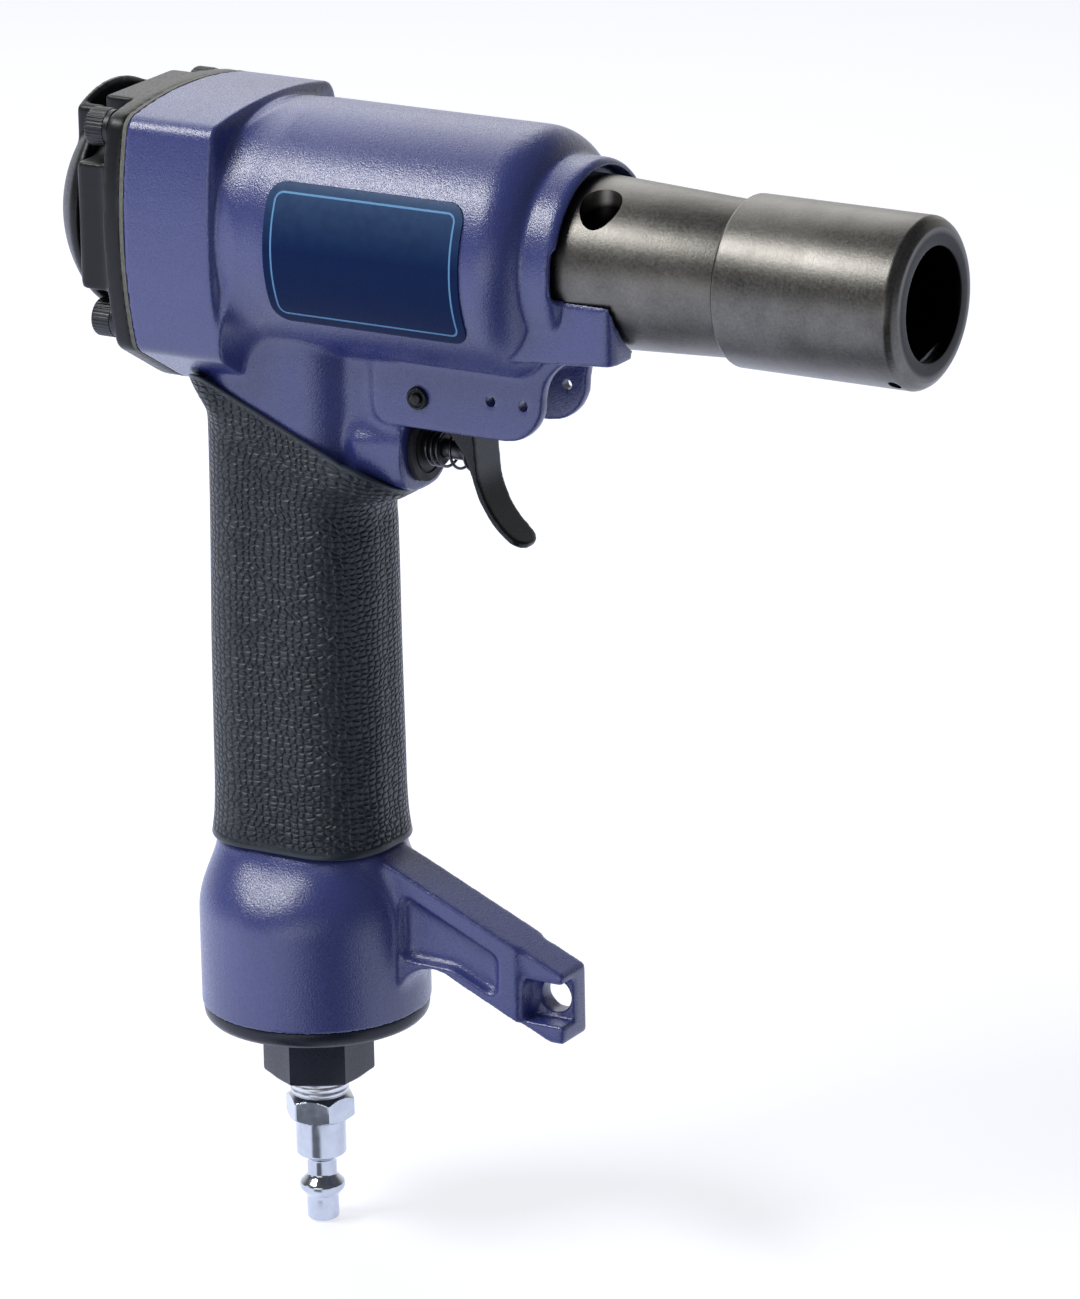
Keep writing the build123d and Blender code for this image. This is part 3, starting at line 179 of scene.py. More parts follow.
class Nodes:
    """A shader tree, with short ways to add to it."""

    def __init__(self, tree):
        self.tree = tree

    def node(self, kind, **settings):
        """New node with its settings."""
        made = self.tree.nodes.new(kind)
        for key, value in settings.items():
            setattr(made, key, value)
        return made

    def feed(self, node, **inputs):
        """Sets or links inputs by name, with underscores for spaces, or by number as i0, i1."""
        for key, value in inputs.items():
            numbered = key[0] == "i" and key[1:].isdigit()
            socket = node.inputs[int(key[1:]) if numbered else key.replace("_", " ")]
            if isinstance(value, bpy.types.NodeSocket):
                self.tree.links.new(value, socket)
            else:
                socket.default_value = value
        return node

    def ramp(self, value, low, high, start=0.0, end=1.0, kind="LINEAR"):
        """Value spread from start..end onto low..high, held at both ends."""
        made = self.node("ShaderNodeMapRange", clamp=True, interpolation_type=kind)
        self.feed(made, Value=value, From_Min=start, From_Max=end, To_Min=low, To_Max=high)
        return made.outputs["Result"]

    def math(self, operation, first, second=0.0):
        """One arithmetic step."""
        made = self.node("ShaderNodeMath", operation=operation)
        return self.feed(made, i0=first, i1=second).outputs[0]

    def mean(self, first, second, share):
        """Weighted mean of two values, with the first one's share."""
        parts = self.math("MULTIPLY", first, share), self.math("MULTIPLY", second, 1.0 - share)
        return self.math("ADD", *parts)

    def dot(self, vector, way):
        """How far a place lies along a direction."""
        made = self.node("ShaderNodeVectorMath", operation="DOT_PRODUCT")
        return self.feed(made, i0=vector, i1=way).outputs["Value"]

    def blend(self, factor, first, second, mode="MIX"):
        """Mix of two colours."""
        made = self.node("ShaderNodeMix", data_type="RGBA", blend_type=mode)
        self.feed(made, Factor=factor)
        for key, value in (("i6", first), ("i7", second)):
            linked = isinstance(value, bpy.types.NodeSocket)
            self.feed(made, **{key: value if linked else (*value[:3], 1.0)})
        return made.outputs[2]


class Finish(Nodes):
    """One procedural material: a Principled shader and the texture nodes that feed it."""

    def __init__(self, name, base, metallic=0.0, roughness=0.5, **sockets):
        self.material = bpy.data.materials.new(name)
        self.material.use_nodes = True
        super().__init__(self.material.node_tree)
        self.shader = self.tree.nodes["Principled BSDF"]
        self.feed(self.shader, Base_Color=(*base, 1.0), Metallic=metallic, Roughness=roughness, **sockets)
        self.coords = self.node("ShaderNodeTexCoord")
        self.relief = None

    def place(self, scale=(1.0, 1.0, 1.0), move=(0.0, 0.0, 0.0), source="Object"):
        """Object or UV coordinates, scaled and moved."""
        mapping = self.node("ShaderNodeMapping")
        self.feed(mapping, Vector=self.coords.outputs[source], Location=move, Scale=scale)
        return mapping.outputs["Vector"]

    def noise(self, vector, scale, detail=3.0, roughness=0.55):
        """Cloudy value about a half."""
        made = self.node("ShaderNodeTexNoise")
        self.feed(made, Vector=vector, Scale=scale, Detail=detail, Roughness=roughness)
        return made.outputs["Fac"]

    def cells(self, vector, feature, randomness):
        """Distance in a flat field of cells of width 1."""
        made = self.node("ShaderNodeTexVoronoi", feature=feature, voronoi_dimensions="2D")
        self.feed(made, Vector=vector, Scale=1.0, Randomness=randomness)
        return made.outputs["Distance"]

    def bump(self, height, distance, strength=1.0):
        """Adds relief of that depth in metres, over any relief already there."""
        made = self.node("ShaderNodeBump")
        self.feed(made, Height=height, Distance=distance, Strength=strength)
        if self.relief is not None:
            self.feed(made, Normal=self.relief)
        self.relief = made.outputs["Normal"]
        self.feed(self.shader, Normal=self.relief)

    def base(self, socket):
        """Links the base colour."""
        self.feed(self.shader, Base_Color=socket)

    def rough(self, socket):
        """Links the roughness."""
        self.feed(self.shader, Roughness=socket)


def shade(base, factor):
    """Colour times a factor, kept below white."""
    return tuple(min(1.0, channel * factor) for channel in base)


def cast_paint(name, look):
    """Satin paint on sand-cast metal: cloudy colour, pale specks, and fine grain in the relief and gloss."""
    paint = Finish(name, look.paint, roughness=0.38, Specular_IOR_Level=0.90)
    place = paint.place()
    clouds = paint.noise(place, 38.0, detail=4.0)
    grain = paint.noise(place, 2400.0, detail=2.0, roughness=0.6)
    specks = paint.noise(place, 900.0, detail=2.0)
    tone = paint.ramp(clouds, 0.0, 1.0, 0.32, 0.68)
    body = paint.blend(tone, look.paint_deep, look.paint)
    light = paint.ramp(specks, 0.0, 0.35, 0.52, 0.80)
    paint.base(paint.blend(light, body, shade(look.paint, 1.45)))
    paint.rough(paint.ramp(grain, 0.23, 0.37, 0.3, 0.7))
    paint.bump(specks, 0.00004, 0.5)
    paint.bump(grain, 0.00011, 0.9)
    return paint.material


def black_paint(name, base, roughness, grain_size):
    """Satin dark paint with a fine orange-peel relief and faint dusty patches."""
    paint = Finish(name, base, roughness=roughness, Specular_IOR_Level=0.32)
    place = paint.place()
    dust = paint.ramp(paint.noise(place, 60.0, detail=5.0), 0.0, 1.0, 0.42, 0.75)
    paint.base(paint.blend(dust, base, shade(base, 1.9)))
    grain = paint.noise(place, grain_size, detail=2.0)
    paint.rough(paint.ramp(grain, roughness - 0.06, roughness + 0.10, 0.3, 0.7))
    paint.bump(grain, 0.00005, 0.5)
    return paint.material


def pebbled_rubber(name, look, pebble):
    """Moulded rubber: rows of rounded pebbles, wider than tall, with dull valleys between them that are
    darkened with painted shade.
    """
    rubber = Finish(name, look.rubber, roughness=0.38, Specular_IOR_Level=0.4)
    per_metre, flatness, randomness = 1.0 / pebble, 1.42, 0.60
    place = rubber.place(scale=(per_metre, per_metre * flatness, 1.0), source="UV")
    drift = rubber.node("ShaderNodeTexNoise")
    rubber.feed(drift, Vector=rubber.coords.outputs["UV"], Scale=170.0, Detail=2.0)
    sway = rubber.node("ShaderNodeVectorMath", operation="MULTIPLY_ADD")
    rubber.feed(sway, i0=drift.outputs["Color"], i1=(1.1, 1.1, 0.0), i2=place)
    rim = rubber.cells(sway.outputs["Vector"], "DISTANCE_TO_EDGE", randomness)
    crown = rubber.cells(sway.outputs["Vector"], "F1", randomness)
    plain = rubber.node("ShaderNodeAttribute", attribute_name="rim").outputs["Fac"]
    swell = rubber.math("MAXIMUM", rubber.ramp(rim, 0.0, 1.0, 0.02, 0.30), plain)
    sink = rubber.math("MULTIPLY", rubber.math("MULTIPLY", crown, 0.45), rubber.math("SUBTRACT", 1.0, plain))
    worn = rubber.ramp(rubber.noise(rubber.place(), 55.0, detail=4.0), 0.75, 1.25, 0.3, 0.7)
    # Painted shade: the valleys between the pebbles take the darker rubber colour, the pebble tops the
    # lighter one
    top = rubber.blend(swell, look.rubber_painted_shade, look.rubber)
    rubber.base(rubber.blend(1.0, top, worn, "MULTIPLY"))
    rubber.rough(rubber.ramp(swell, 0.52, 0.36))
    rubber.bump(rubber.math("SUBTRACT", swell, sink), 0.00042, 0.9)
    rubber.bump(rubber.noise(rubber.place(), 6000.0, detail=1.0), 0.00002, 0.4)
    return rubber.material


def turned_steel(name, base, roughness, painted_shade_radius=0.0):
    """Oiled turned steel: tool lines round the X axis, mottled film and fine pits, and painted shade, nearly
    black, inside the given radius round the X axis."""
    steel = Finish(name, base, metallic=1.0, roughness=roughness)
    lines = steel.noise(steel.place(scale=(4200.0, 6.0, 6.0)), 1.0, detail=4.0, roughness=0.7)
    place = steel.place()
    film = steel.noise(place, 75.0, detail=5.0, roughness=0.62)
    pits = steel.noise(place, 1500.0, detail=3.0, roughness=0.7)
    tone = steel.ramp(steel.mean(film, pits, 0.55), 0.0, 1.0, 0.34, 0.66)
    skin = steel.blend(tone, shade(base, 0.60), shade(base, 1.20))
    # Painted shade: surfaces inside this radius, the holes of the tube and sleeve, go nearly black
    if painted_shade_radius:
        across = steel.node("ShaderNodeVectorMath", operation="LENGTH")
        steel.feed(across, i0=steel.place(scale=(0.0, 1.0, 1.0)))
        outside = steel.ramp(across.outputs["Value"], 0.0, 1.0, painted_shade_radius, painted_shade_radius * 1.07)
        skin = steel.blend(outside, shade(base, 0.10), skin)
    steel.base(skin)
    steel.rough(steel.ramp(steel.mean(lines, pits, 0.5), roughness - 0.07, roughness + 0.14, 0.3, 0.7))
    steel.bump(pits, 0.00006, 0.5)
    steel.bump(lines, 0.00003, 0.35)
    return steel.material


def smooth_metal(name, base, roughness):
    """Plated or ground metal with faint smudges and hairline scratches."""
    metal = Finish(name, base, metallic=1.0, roughness=roughness)
    marks = metal.noise(metal.place(), 210.0, detail=5.0, roughness=0.65)
    hairs = metal.noise(metal.place(scale=(900.0, 900.0, 60.0)), 1.0, detail=2.0)
    metal.base(metal.blend(metal.ramp(marks, 0.0, 1.0, 0.35, 0.7), shade(base, 0.82), base))
    metal.rough(metal.ramp(marks, max(0.03, roughness - 0.04), roughness + 0.10, 0.35, 0.7))
    metal.bump(hairs, 0.00001, 0.3)
    return metal.material


def plain_rubber(name, base):
    """Matt moulded rubber or plastic with a slight bloom."""
    rubber = Finish(name, base, roughness=0.62)
    place = rubber.place()
    bloom = rubber.noise(place, 160.0, detail=4.0)
    rubber.base(rubber.blend(rubber.ramp(bloom, 0.0, 1.0, 0.35, 0.75), base, shade(base, 1.7)))
    rubber.rough(rubber.ramp(bloom, 0.52, 0.72, 0.3, 0.7))
    rubber.bump(rubber.noise(place, 3500.0, detail=2.0), 0.00003, 0.4)
    return rubber.material


def gasket_fibre(name, base):
    """Pressed fibre sheet: short flecks across the thickness."""
    fibre = Finish(name, base, roughness=0.8)
    flecks = fibre.noise(fibre.place(scale=(1.0, 0.35, 0.35)), 2400.0, detail=3.0)
    tone = fibre.ramp(flecks, 0.0, 1.0, 0.35, 0.65)
    fibre.base(fibre.blend(tone, shade(base, 0.7), shade(base, 1.2)))
    fibre.bump(flecks, 0.00008, 0.6)
    return fibre.material


def label_finish(name, look):
    """Navy plate, paler at its top as a painted reflection, with one thin pale line: where the distance
    inside a rounded rectangle is the line's inset."""
    low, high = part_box("label_plate")
    corner, inset = 0.004, 0.0021
    plate = Finish(name, look.navy, roughness=0.24, Specular_IOR_Level=0.06)
    middle = (low + high) / 2
    parts = plate.node("ShaderNodeSeparateXYZ")
    plate.feed(parts, Vector=plate.place(move=(-middle.x, 0.0, -middle.z)))
    sides = [
        plate.math("SUBTRACT", plate.math("ABSOLUTE", parts.outputs[axis]), extent - corner)
        for axis, extent in (("X", (high.x - low.x) / 2), ("Z", (high.z - low.z) / 2))
    ]
    squares = [plate.math("POWER", plate.math("MAXIMUM", side, 0.0), 2.0) for side in sides]
    outside = plate.math("SQRT", plate.math("ADD", squares[0], squares[1]))
    inside = plate.math("MINIMUM", plate.math("MAXIMUM", sides[0], sides[1]), 0.0)
    depth = plate.math("SUBTRACT", plate.math("ADD", outside, inside), corner)
    from_line = plate.math("ABSOLUTE", plate.math("ADD", depth, inset))
    line = plate.ramp(from_line, 1.0, 0.0, 0.00016, 0.00025)
    # Painted reflection: the plate grows paler towards its top
    height = plate.ramp(parts.outputs["Z"], 0.0, 1.0, 0.0015, 0.0150)
    ground = plate.blend(height, look.navy, look.navy_painted_reflection)
    specks = plate.noise(plate.place(), 420.0, detail=3.0)
    printed = plate.blend(plate.ramp(specks, 0.0, 0.25, 0.45, 0.7), ground, shade(look.navy, 0.7))
    plate.base(plate.blend(line, printed, look.border))
    plate.rough(plate.ramp(specks, 0.20, 0.30, 0.3, 0.7))
    plate.bump(line, 0.00004, 0.6)
    plate.bump(plate.noise(plate.place(), 900.0, detail=2.0), 0.00001, 0.3)
    return plate.material


def thread_tape_finish(name):
    """Thin white tape pulled tight over a bright thread, with faint wrap lines."""
    tape = Finish(name, (0.70, 0.72, 0.75), metallic=0.75, roughness=0.30)
    wraps = tape.noise(tape.place(scale=(20.0, 20.0, 1500.0)), 1.0, detail=3.0)
    tape.base(tape.blend(tape.ramp(wraps, 0.0, 1.0, 0.35, 0.65), (0.58, 0.60, 0.63), (0.82, 0.83, 0.85)))
    tape.bump(wraps, 0.00006, 0.5)
    return tape.material


made = {}


def finish_of(name):
    """A material by name, made on first use."""
    look, sizes = bpy.context.scene.hammer_finish, bpy.context.scene.hammer_sizes
    makers = {
        "cast_paint": (cast_paint, look),
        "black_paint": (black_paint, look.black, 0.36, 1900.0),
        "trigger_black": (black_paint, look.black, 0.30, 2600.0),
        "end_cap_paint": (black_paint, look.hex_paint, 0.30, 2200.0),
        "pebbled_rubber": (pebbled_rubber, look, sizes.pebble),
        "turned_steel": (turned_steel, look.steel, 0.34, 0.0152),
        "dark_steel": (turned_steel, (0.10, 0.10, 0.105), 0.34),
        "bright_steel": (turned_steel, (0.58, 0.58, 0.60), 0.22),
        "alloy": (turned_steel, (0.60, 0.61, 0.63), 0.32),
        "black_oxide": (turned_steel, look.oxide, 0.36),
        "key_steel": (smooth_metal, (0.20, 0.20, 0.21), 0.26),
        "spring_wire": (smooth_metal, (0.11, 0.11, 0.12), 0.30),
        "zinc_plate": (smooth_metal, look.zinc, 0.13),
        "seal_rubber": (plain_rubber, (0.012, 0.012, 0.013)),
        "bumper_rubber": (plain_rubber, (0.085, 0.050, 0.022)),
        "valve_plastic": (plain_rubber, (0.010, 0.010, 0.011)),
        "gasket_fibre": (gasket_fibre, look.fibre),
        "label_finish": (label_finish, look),
        "thread_tape_finish": (thread_tape_finish,),
    }
    if name not in made:
        maker, *values = makers[name]
        made[name] = maker(name, *values)
    return made[name]


# Meshes


def dress(obj, finish):
    """Gives an object one material."""
    obj.data.materials.clear()
    obj.data.materials.append(finish_of(finish))


def dress_nodes(**finishes):
    """Gives CAD nodes that stay as they are their materials."""
    for node, finish in finishes.items():
        dress(nodes[node], finish)


def link(name, data):
    """New object of a mesh, lamp or camera, linked into the scene."""
    obj = bpy.data.objects.new(name, data)
    bpy.context.scene.collection.objects.link(obj)
    return obj


def add_piece(name, mesh, body, finish, slot, *replaced):
    """Links a finished piece, and says what it rides on and which nodes it stands for."""
    piece = link(name, mesh)
    dress(piece, finish)
    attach(piece, body)
    if replaced:
        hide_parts(*replaced)
    return piece


def smooth_to(mesh, degrees):
    """Smooth shading, with edges sharper than this angle kept sharp."""
    mesh.shade_smooth()
    mesh.set_sharp_from_angle(angle=math.radians(degrees))


def circle(sides):
    """Angles spread evenly round a circle."""
    return np.linspace(0.0, 2 * np.pi, sides, endpoint=False)


def grid_faces(rows, columns, closed):
    """Corner numbers of the quads of a grid; closed joins the last column to the first."""
    across = columns if closed else columns - 1
    row, column = np.meshgrid(np.arange(rows - 1), np.arange(across), indexing="ij")
    here = row * columns + column
    beside = row * columns + (column + 1) % columns
    return np.stack([here, beside, beside + columns, here + columns], axis=-1).reshape(-1, 4)


def grid_mesh(name, points, closed=True, uv=None, fields=None):
    """Mesh of a grid of points in millimetres; rows that shrink to a point are merged into a pole."""
    rows, columns = points.shape[:2]
    mesh = bpy.data.meshes.new(name)
    faces = grid_faces(rows, columns, closed)
    mesh.from_pydata((points.reshape(-1, 3) * MM).tolist(), [], faces.tolist())
    if uv is not None:
        layer = mesh.uv_layers.new(name="surface")
        corner = np.empty(len(mesh.loops), dtype=np.int32)
        mesh.loops.foreach_get("vertex_index", corner)
        flat = uv.reshape(-1, 2)[corner]
        if closed:
            girth = uv[0, -1, 0] * columns / (columns - 1)
            wrapped = np.repeat(faces[:, 1] % columns == 0, 4).reshape(-1, 4)
            wrapped[:, [0, 3]] = False
            flat = flat + np.where(wrapped.reshape(-1, 1), [[girth, 0.0]], 0.0)
        layer.data.foreach_set("uv", flat.astype(np.float32).ravel())
    for field, values in (fields or {}).items():
        layer = mesh.attributes.new(field, "FLOAT", "POINT")
        layer.data.foreach_set("value", values.astype(np.float32).ravel())
    merge_doubles(mesh)
    return mesh


def merge_doubles(mesh, distance=1e-7):
    """Joins vertices that lie on each other and points the faces outwards."""
    work = bmesh.new()
    work.from_mesh(mesh)
    bmesh.ops.remove_doubles(work, verts=work.verts, dist=distance)
    bmesh.ops.dissolve_degenerate(work, edges=work.edges, dist=1e-8)
    bmesh.ops.recalc_face_normals(work, faces=work.faces)
    work.to_mesh(mesh)
    work.free()


def lathe(name, profile, origin, axis, segments, radius_of=None):
    """Surface of revolution: profile rows of (place along the axis, radius) turned about it.
    radius_of changes the radii by (row, angle), such as for a hexagon."""
    profile = np.asarray(profile, dtype=float)
    angle = circle(segments)
    radius = np.repeat(profile[:, 1:2], segments, axis=1)
    if radius_of is not None:
        radius = radius_of(radius, np.arange(len(profile))[:, None], angle[None, :])
    along = np.repeat(profile[:, 0:1], segments, axis=1)
    first, second = SQUARE_TO[axis]
    points = np.zeros((len(profile), segments, 3))
    points[..., axis] = origin[axis] + along
    points[..., first] = origin[first] + radius * np.cos(angle)
    points[..., second] = origin[second] + radius * np.sin(angle)
    return grid_mesh(name, points)


def add_turned(name, profile, origin, axis, finish, slot, replaced, segments, crease, radius_of=None):
    """Links a turned piece of the tool's body, with edges sharper than the crease kept sharp."""
    mesh = lathe(name, profile, origin, axis, segments, radius_of)
    smooth_to(mesh, crease)
    add_piece(name, mesh, "body", finish, slot, replaced)


def rounded(corners, radius, steps):
    """Profile with each inner corner cut back and rounded: a quadratic curve between points at radius from
    the corner."""
    corners = np.asarray(corners, dtype=float)
    out = [corners[:1]]
    for before, here, after in zip(corners[:-2], corners[1:-1], corners[2:]):
        back, ahead = before - here, after - here
        reach = min(radius, 0.45 * np.linalg.norm(back), 0.45 * np.linalg.norm(ahead))
        start = here + back / np.linalg.norm(back) * reach
        end = here + ahead / np.linalg.norm(ahead) * reach
        t = np.linspace(0.0, 1.0, steps + 1)[:, None]
        out.append((1 - t) ** 2 * start + 2 * t * (1 - t) * here + t ** 2 * end)
    out.append(corners[-1:])
    return np.concatenate(out)


def hexagon_radius(across_flats, angle, turn=0.0):
    """Distance from the centre to a hexagon's edge in a direction."""
    sector = np.pi / 3
    return across_flats / 2 / np.cos(np.mod(angle - turn + sector / 2, sector) - sector / 2)


def run_modifier(mesh, kind, **settings):
    """New mesh from one modifier."""
    obj = link("work", mesh)
    step = obj.modifiers.new(kind, kind)
    for key, value in settings.items():
        setattr(step, key, value)
    graph = bpy.context.evaluated_depsgraph_get()
    graph.update()
    result = bpy.data.meshes.new_from_object(obj.evaluated_get(graph))
    bpy.data.objects.remove(obj)
    return result


def cut(mesh, cutter):
    """Mesh less the closed cutter mesh."""
    tool = link("cut_tool", cutter)
    result = run_modifier(mesh, "BOOLEAN", operation="DIFFERENCE", solver="EXACT", object=tool)
    bpy.data.objects.remove(tool)
    return result


def node_copy(node):
    """A CAD node's mesh, copied and merged."""
    mesh = nodes[node].data.copy()
    merge_doubles(mesh, 1e-6)
    return mesh


def vertices_of(mesh):
    """Vertex places as an array, in millimetres."""
    flat = np.empty(len(mesh.vertices) * 3)
    mesh.vertices.foreach_get("co", flat)
    return flat.reshape(-1, 3) / MM


def put_vertices(mesh, places):
    """Writes vertex places back, from millimetres."""
    mesh.vertices.foreach_set("co", (places * MM).ravel())
    mesh.update()


class Skin:
    """Neighbours and normals of a mesh, for moving its vertices as whole arrays."""

    def __init__(self, mesh):
        self.count = len(mesh.vertices)
        edges = np.empty(len(mesh.edges) * 2, dtype=np.int32)
        mesh.edges.foreach_get("vertices", edges)
        self.ends = edges.reshape(-1, 2)
        self.degree = np.bincount(edges, minlength=self.count)[:, None].clip(1)
        mesh.calc_loop_triangles()
        corners = np.empty(len(mesh.loop_triangles) * 3, dtype=np.int32)
        mesh.loop_triangles.foreach_get("vertices", corners)
        self.corners = corners.reshape(-1, 3)

    def gather(self, index, values):
        """Sum of values at each vertex."""
        return np.stack([np.bincount(index, values[:, axis], self.count) for axis in range(3)], axis=1)

    def mean(self, places):
        """Mean place of each vertex's neighbours."""
        first, second = self.ends[:, 0], self.ends[:, 1]
        return (self.gather(first, places[second]) + self.gather(second, places[first])) / self.degree

    def normals(self, places):
        """Unit normal at each vertex."""
        a, b, c = (places[self.corners[:, corner]] for corner in range(3))
        face = np.cross(b - a, c - a)
        total = sum(self.gather(self.corners[:, corner], face) for corner in range(3))
        return total / np.linalg.norm(total, axis=1, keepdims=True).clip(1e-12)


def flow(mesh, passes, fill, shave, weight, edge):
    """Casting radii: each pass moves a vertex towards its neighbours' mean, at rate fill where that lies
    outside the surface, which fills inside corners, and at rate shave where it lies inside, which rounds
    outside corners. The weight of each vertex scales its filling and the smoothing at the start, and edge its
    rounding. Passes that move out about as far as in then calm the surface without shrinking it."""
    inward, outward = 0.45, 0.47
    skin = Skin(mesh)
    places = vertices_of(mesh)
    for _ in range(3):
        places += inward * weight[:, None] * (skin.mean(places) - places)
    for number in range(passes):
        if number % 4 == 0:
            normal = skin.normals(places)
        step = skin.mean(places) - places
        outside = (step * normal).sum(axis=1) > 0.0
        rate = np.where(outside, fill * weight, shave * edge)
        places += rate[:, None] * step
    calm = np.where(edge > 0.3, np.maximum(weight, 0.6), weight)[:, None]
    for _ in range(10):
        places += inward * calm * (skin.mean(places) - places)
        places -= outward * calm * (skin.mean(places) - places)
    return places


def held(values):
    """Values held between 0 and 1."""
    return np.clip(values, 0.0, 1.0)


def near(places, centre, reach, soft):
    """1 within reach of a point, by box distance, falling to 0 over soft."""
    away = np.max(np.abs(places - np.asarray(centre)) - np.asarray(reach), axis=1)
    return held(1.0 - away / soft)


def round_the_axis(places, origin, axis):
    """Distance from an axis through origin."""
    first, second = SQUARE_TO[axis]
    return np.hypot(places[:, first] - origin[first], places[:, second] - origin[second])


def set_radius(places, chosen, origin, axis, radius):
    """Moves the chosen vertices onto a cylinder."""
    distance = round_the_axis(places, origin, axis).clip(1e-6)
    for side in SQUARE_TO[axis]:
        offset = places[:, side] - origin[side]
        places[:, side] = np.where(chosen, origin[side] + offset * radius / distance, places[:, side])


def recast(node, cell, passes, fill, shave, bores, faces=(), weigh=None, form=None, ratio=1.0):
    """Copy of a CAD node with the radii of a moulding. Bores (origin, axis, radius, start, end) and faces
    (axis, place) are machined: their vertices go back to their exact cylinder or plane. Form moves the
    vertices before the radii, weigh gives the weights of flow, and ratio is the share of faces kept."""
    mesh = run_modifier(node_copy(node), "REMESH", mode="VOXEL", voxel_size=cell, adaptivity=0.0)
    start = vertices_of(mesh)
    if form is not None:
        form(start)
        put_vertices(mesh, start)
    weight, edge = (np.ones(len(start)),) * 2 if weigh is None else weigh(start)
    kept = []
    for origin, axis, radius, low, high in bores:
        along = start[:, axis]
        wall = np.abs(round_the_axis(start, origin, axis) - radius) < cell / MM * 0.75
        chosen = wall & (along > low) & (along < high)
        kept.append((chosen, origin, axis, radius))
        weight, edge = np.where(chosen, 0.0, (weight, edge))
    places = flow(mesh, passes, fill, shave, weight, edge)
    for wall in kept:
        set_radius(places, *wall)
    for axis, place in faces:
        level = np.abs(start[:, axis] - place) < 0.5 * cell / MM
        places[:, axis] = np.where(level, place, places[:, axis])
    put_vertices(mesh, places)
    if ratio < 1.0:
        mesh = run_modifier(mesh, "DECIMATE", ratio=ratio)
    smooth_to(mesh, 50)
    return mesh


# Operators

BARREL_R = 28.2
BLOCK_R = 10.0
# How far the barrel is drawn in where it leaves the flange, and over what length
DRAFT, DRAFT_RUN = 1.5, 13.0
# Half the height of the bell's last part
SKIRT = 1.2


def cheek(x):
    """How much wider than its round the valve block is at x ahead of the handle: more at the throat."""
    return 1.08 + 0.17 * held((33.5 - x) / 12.5)


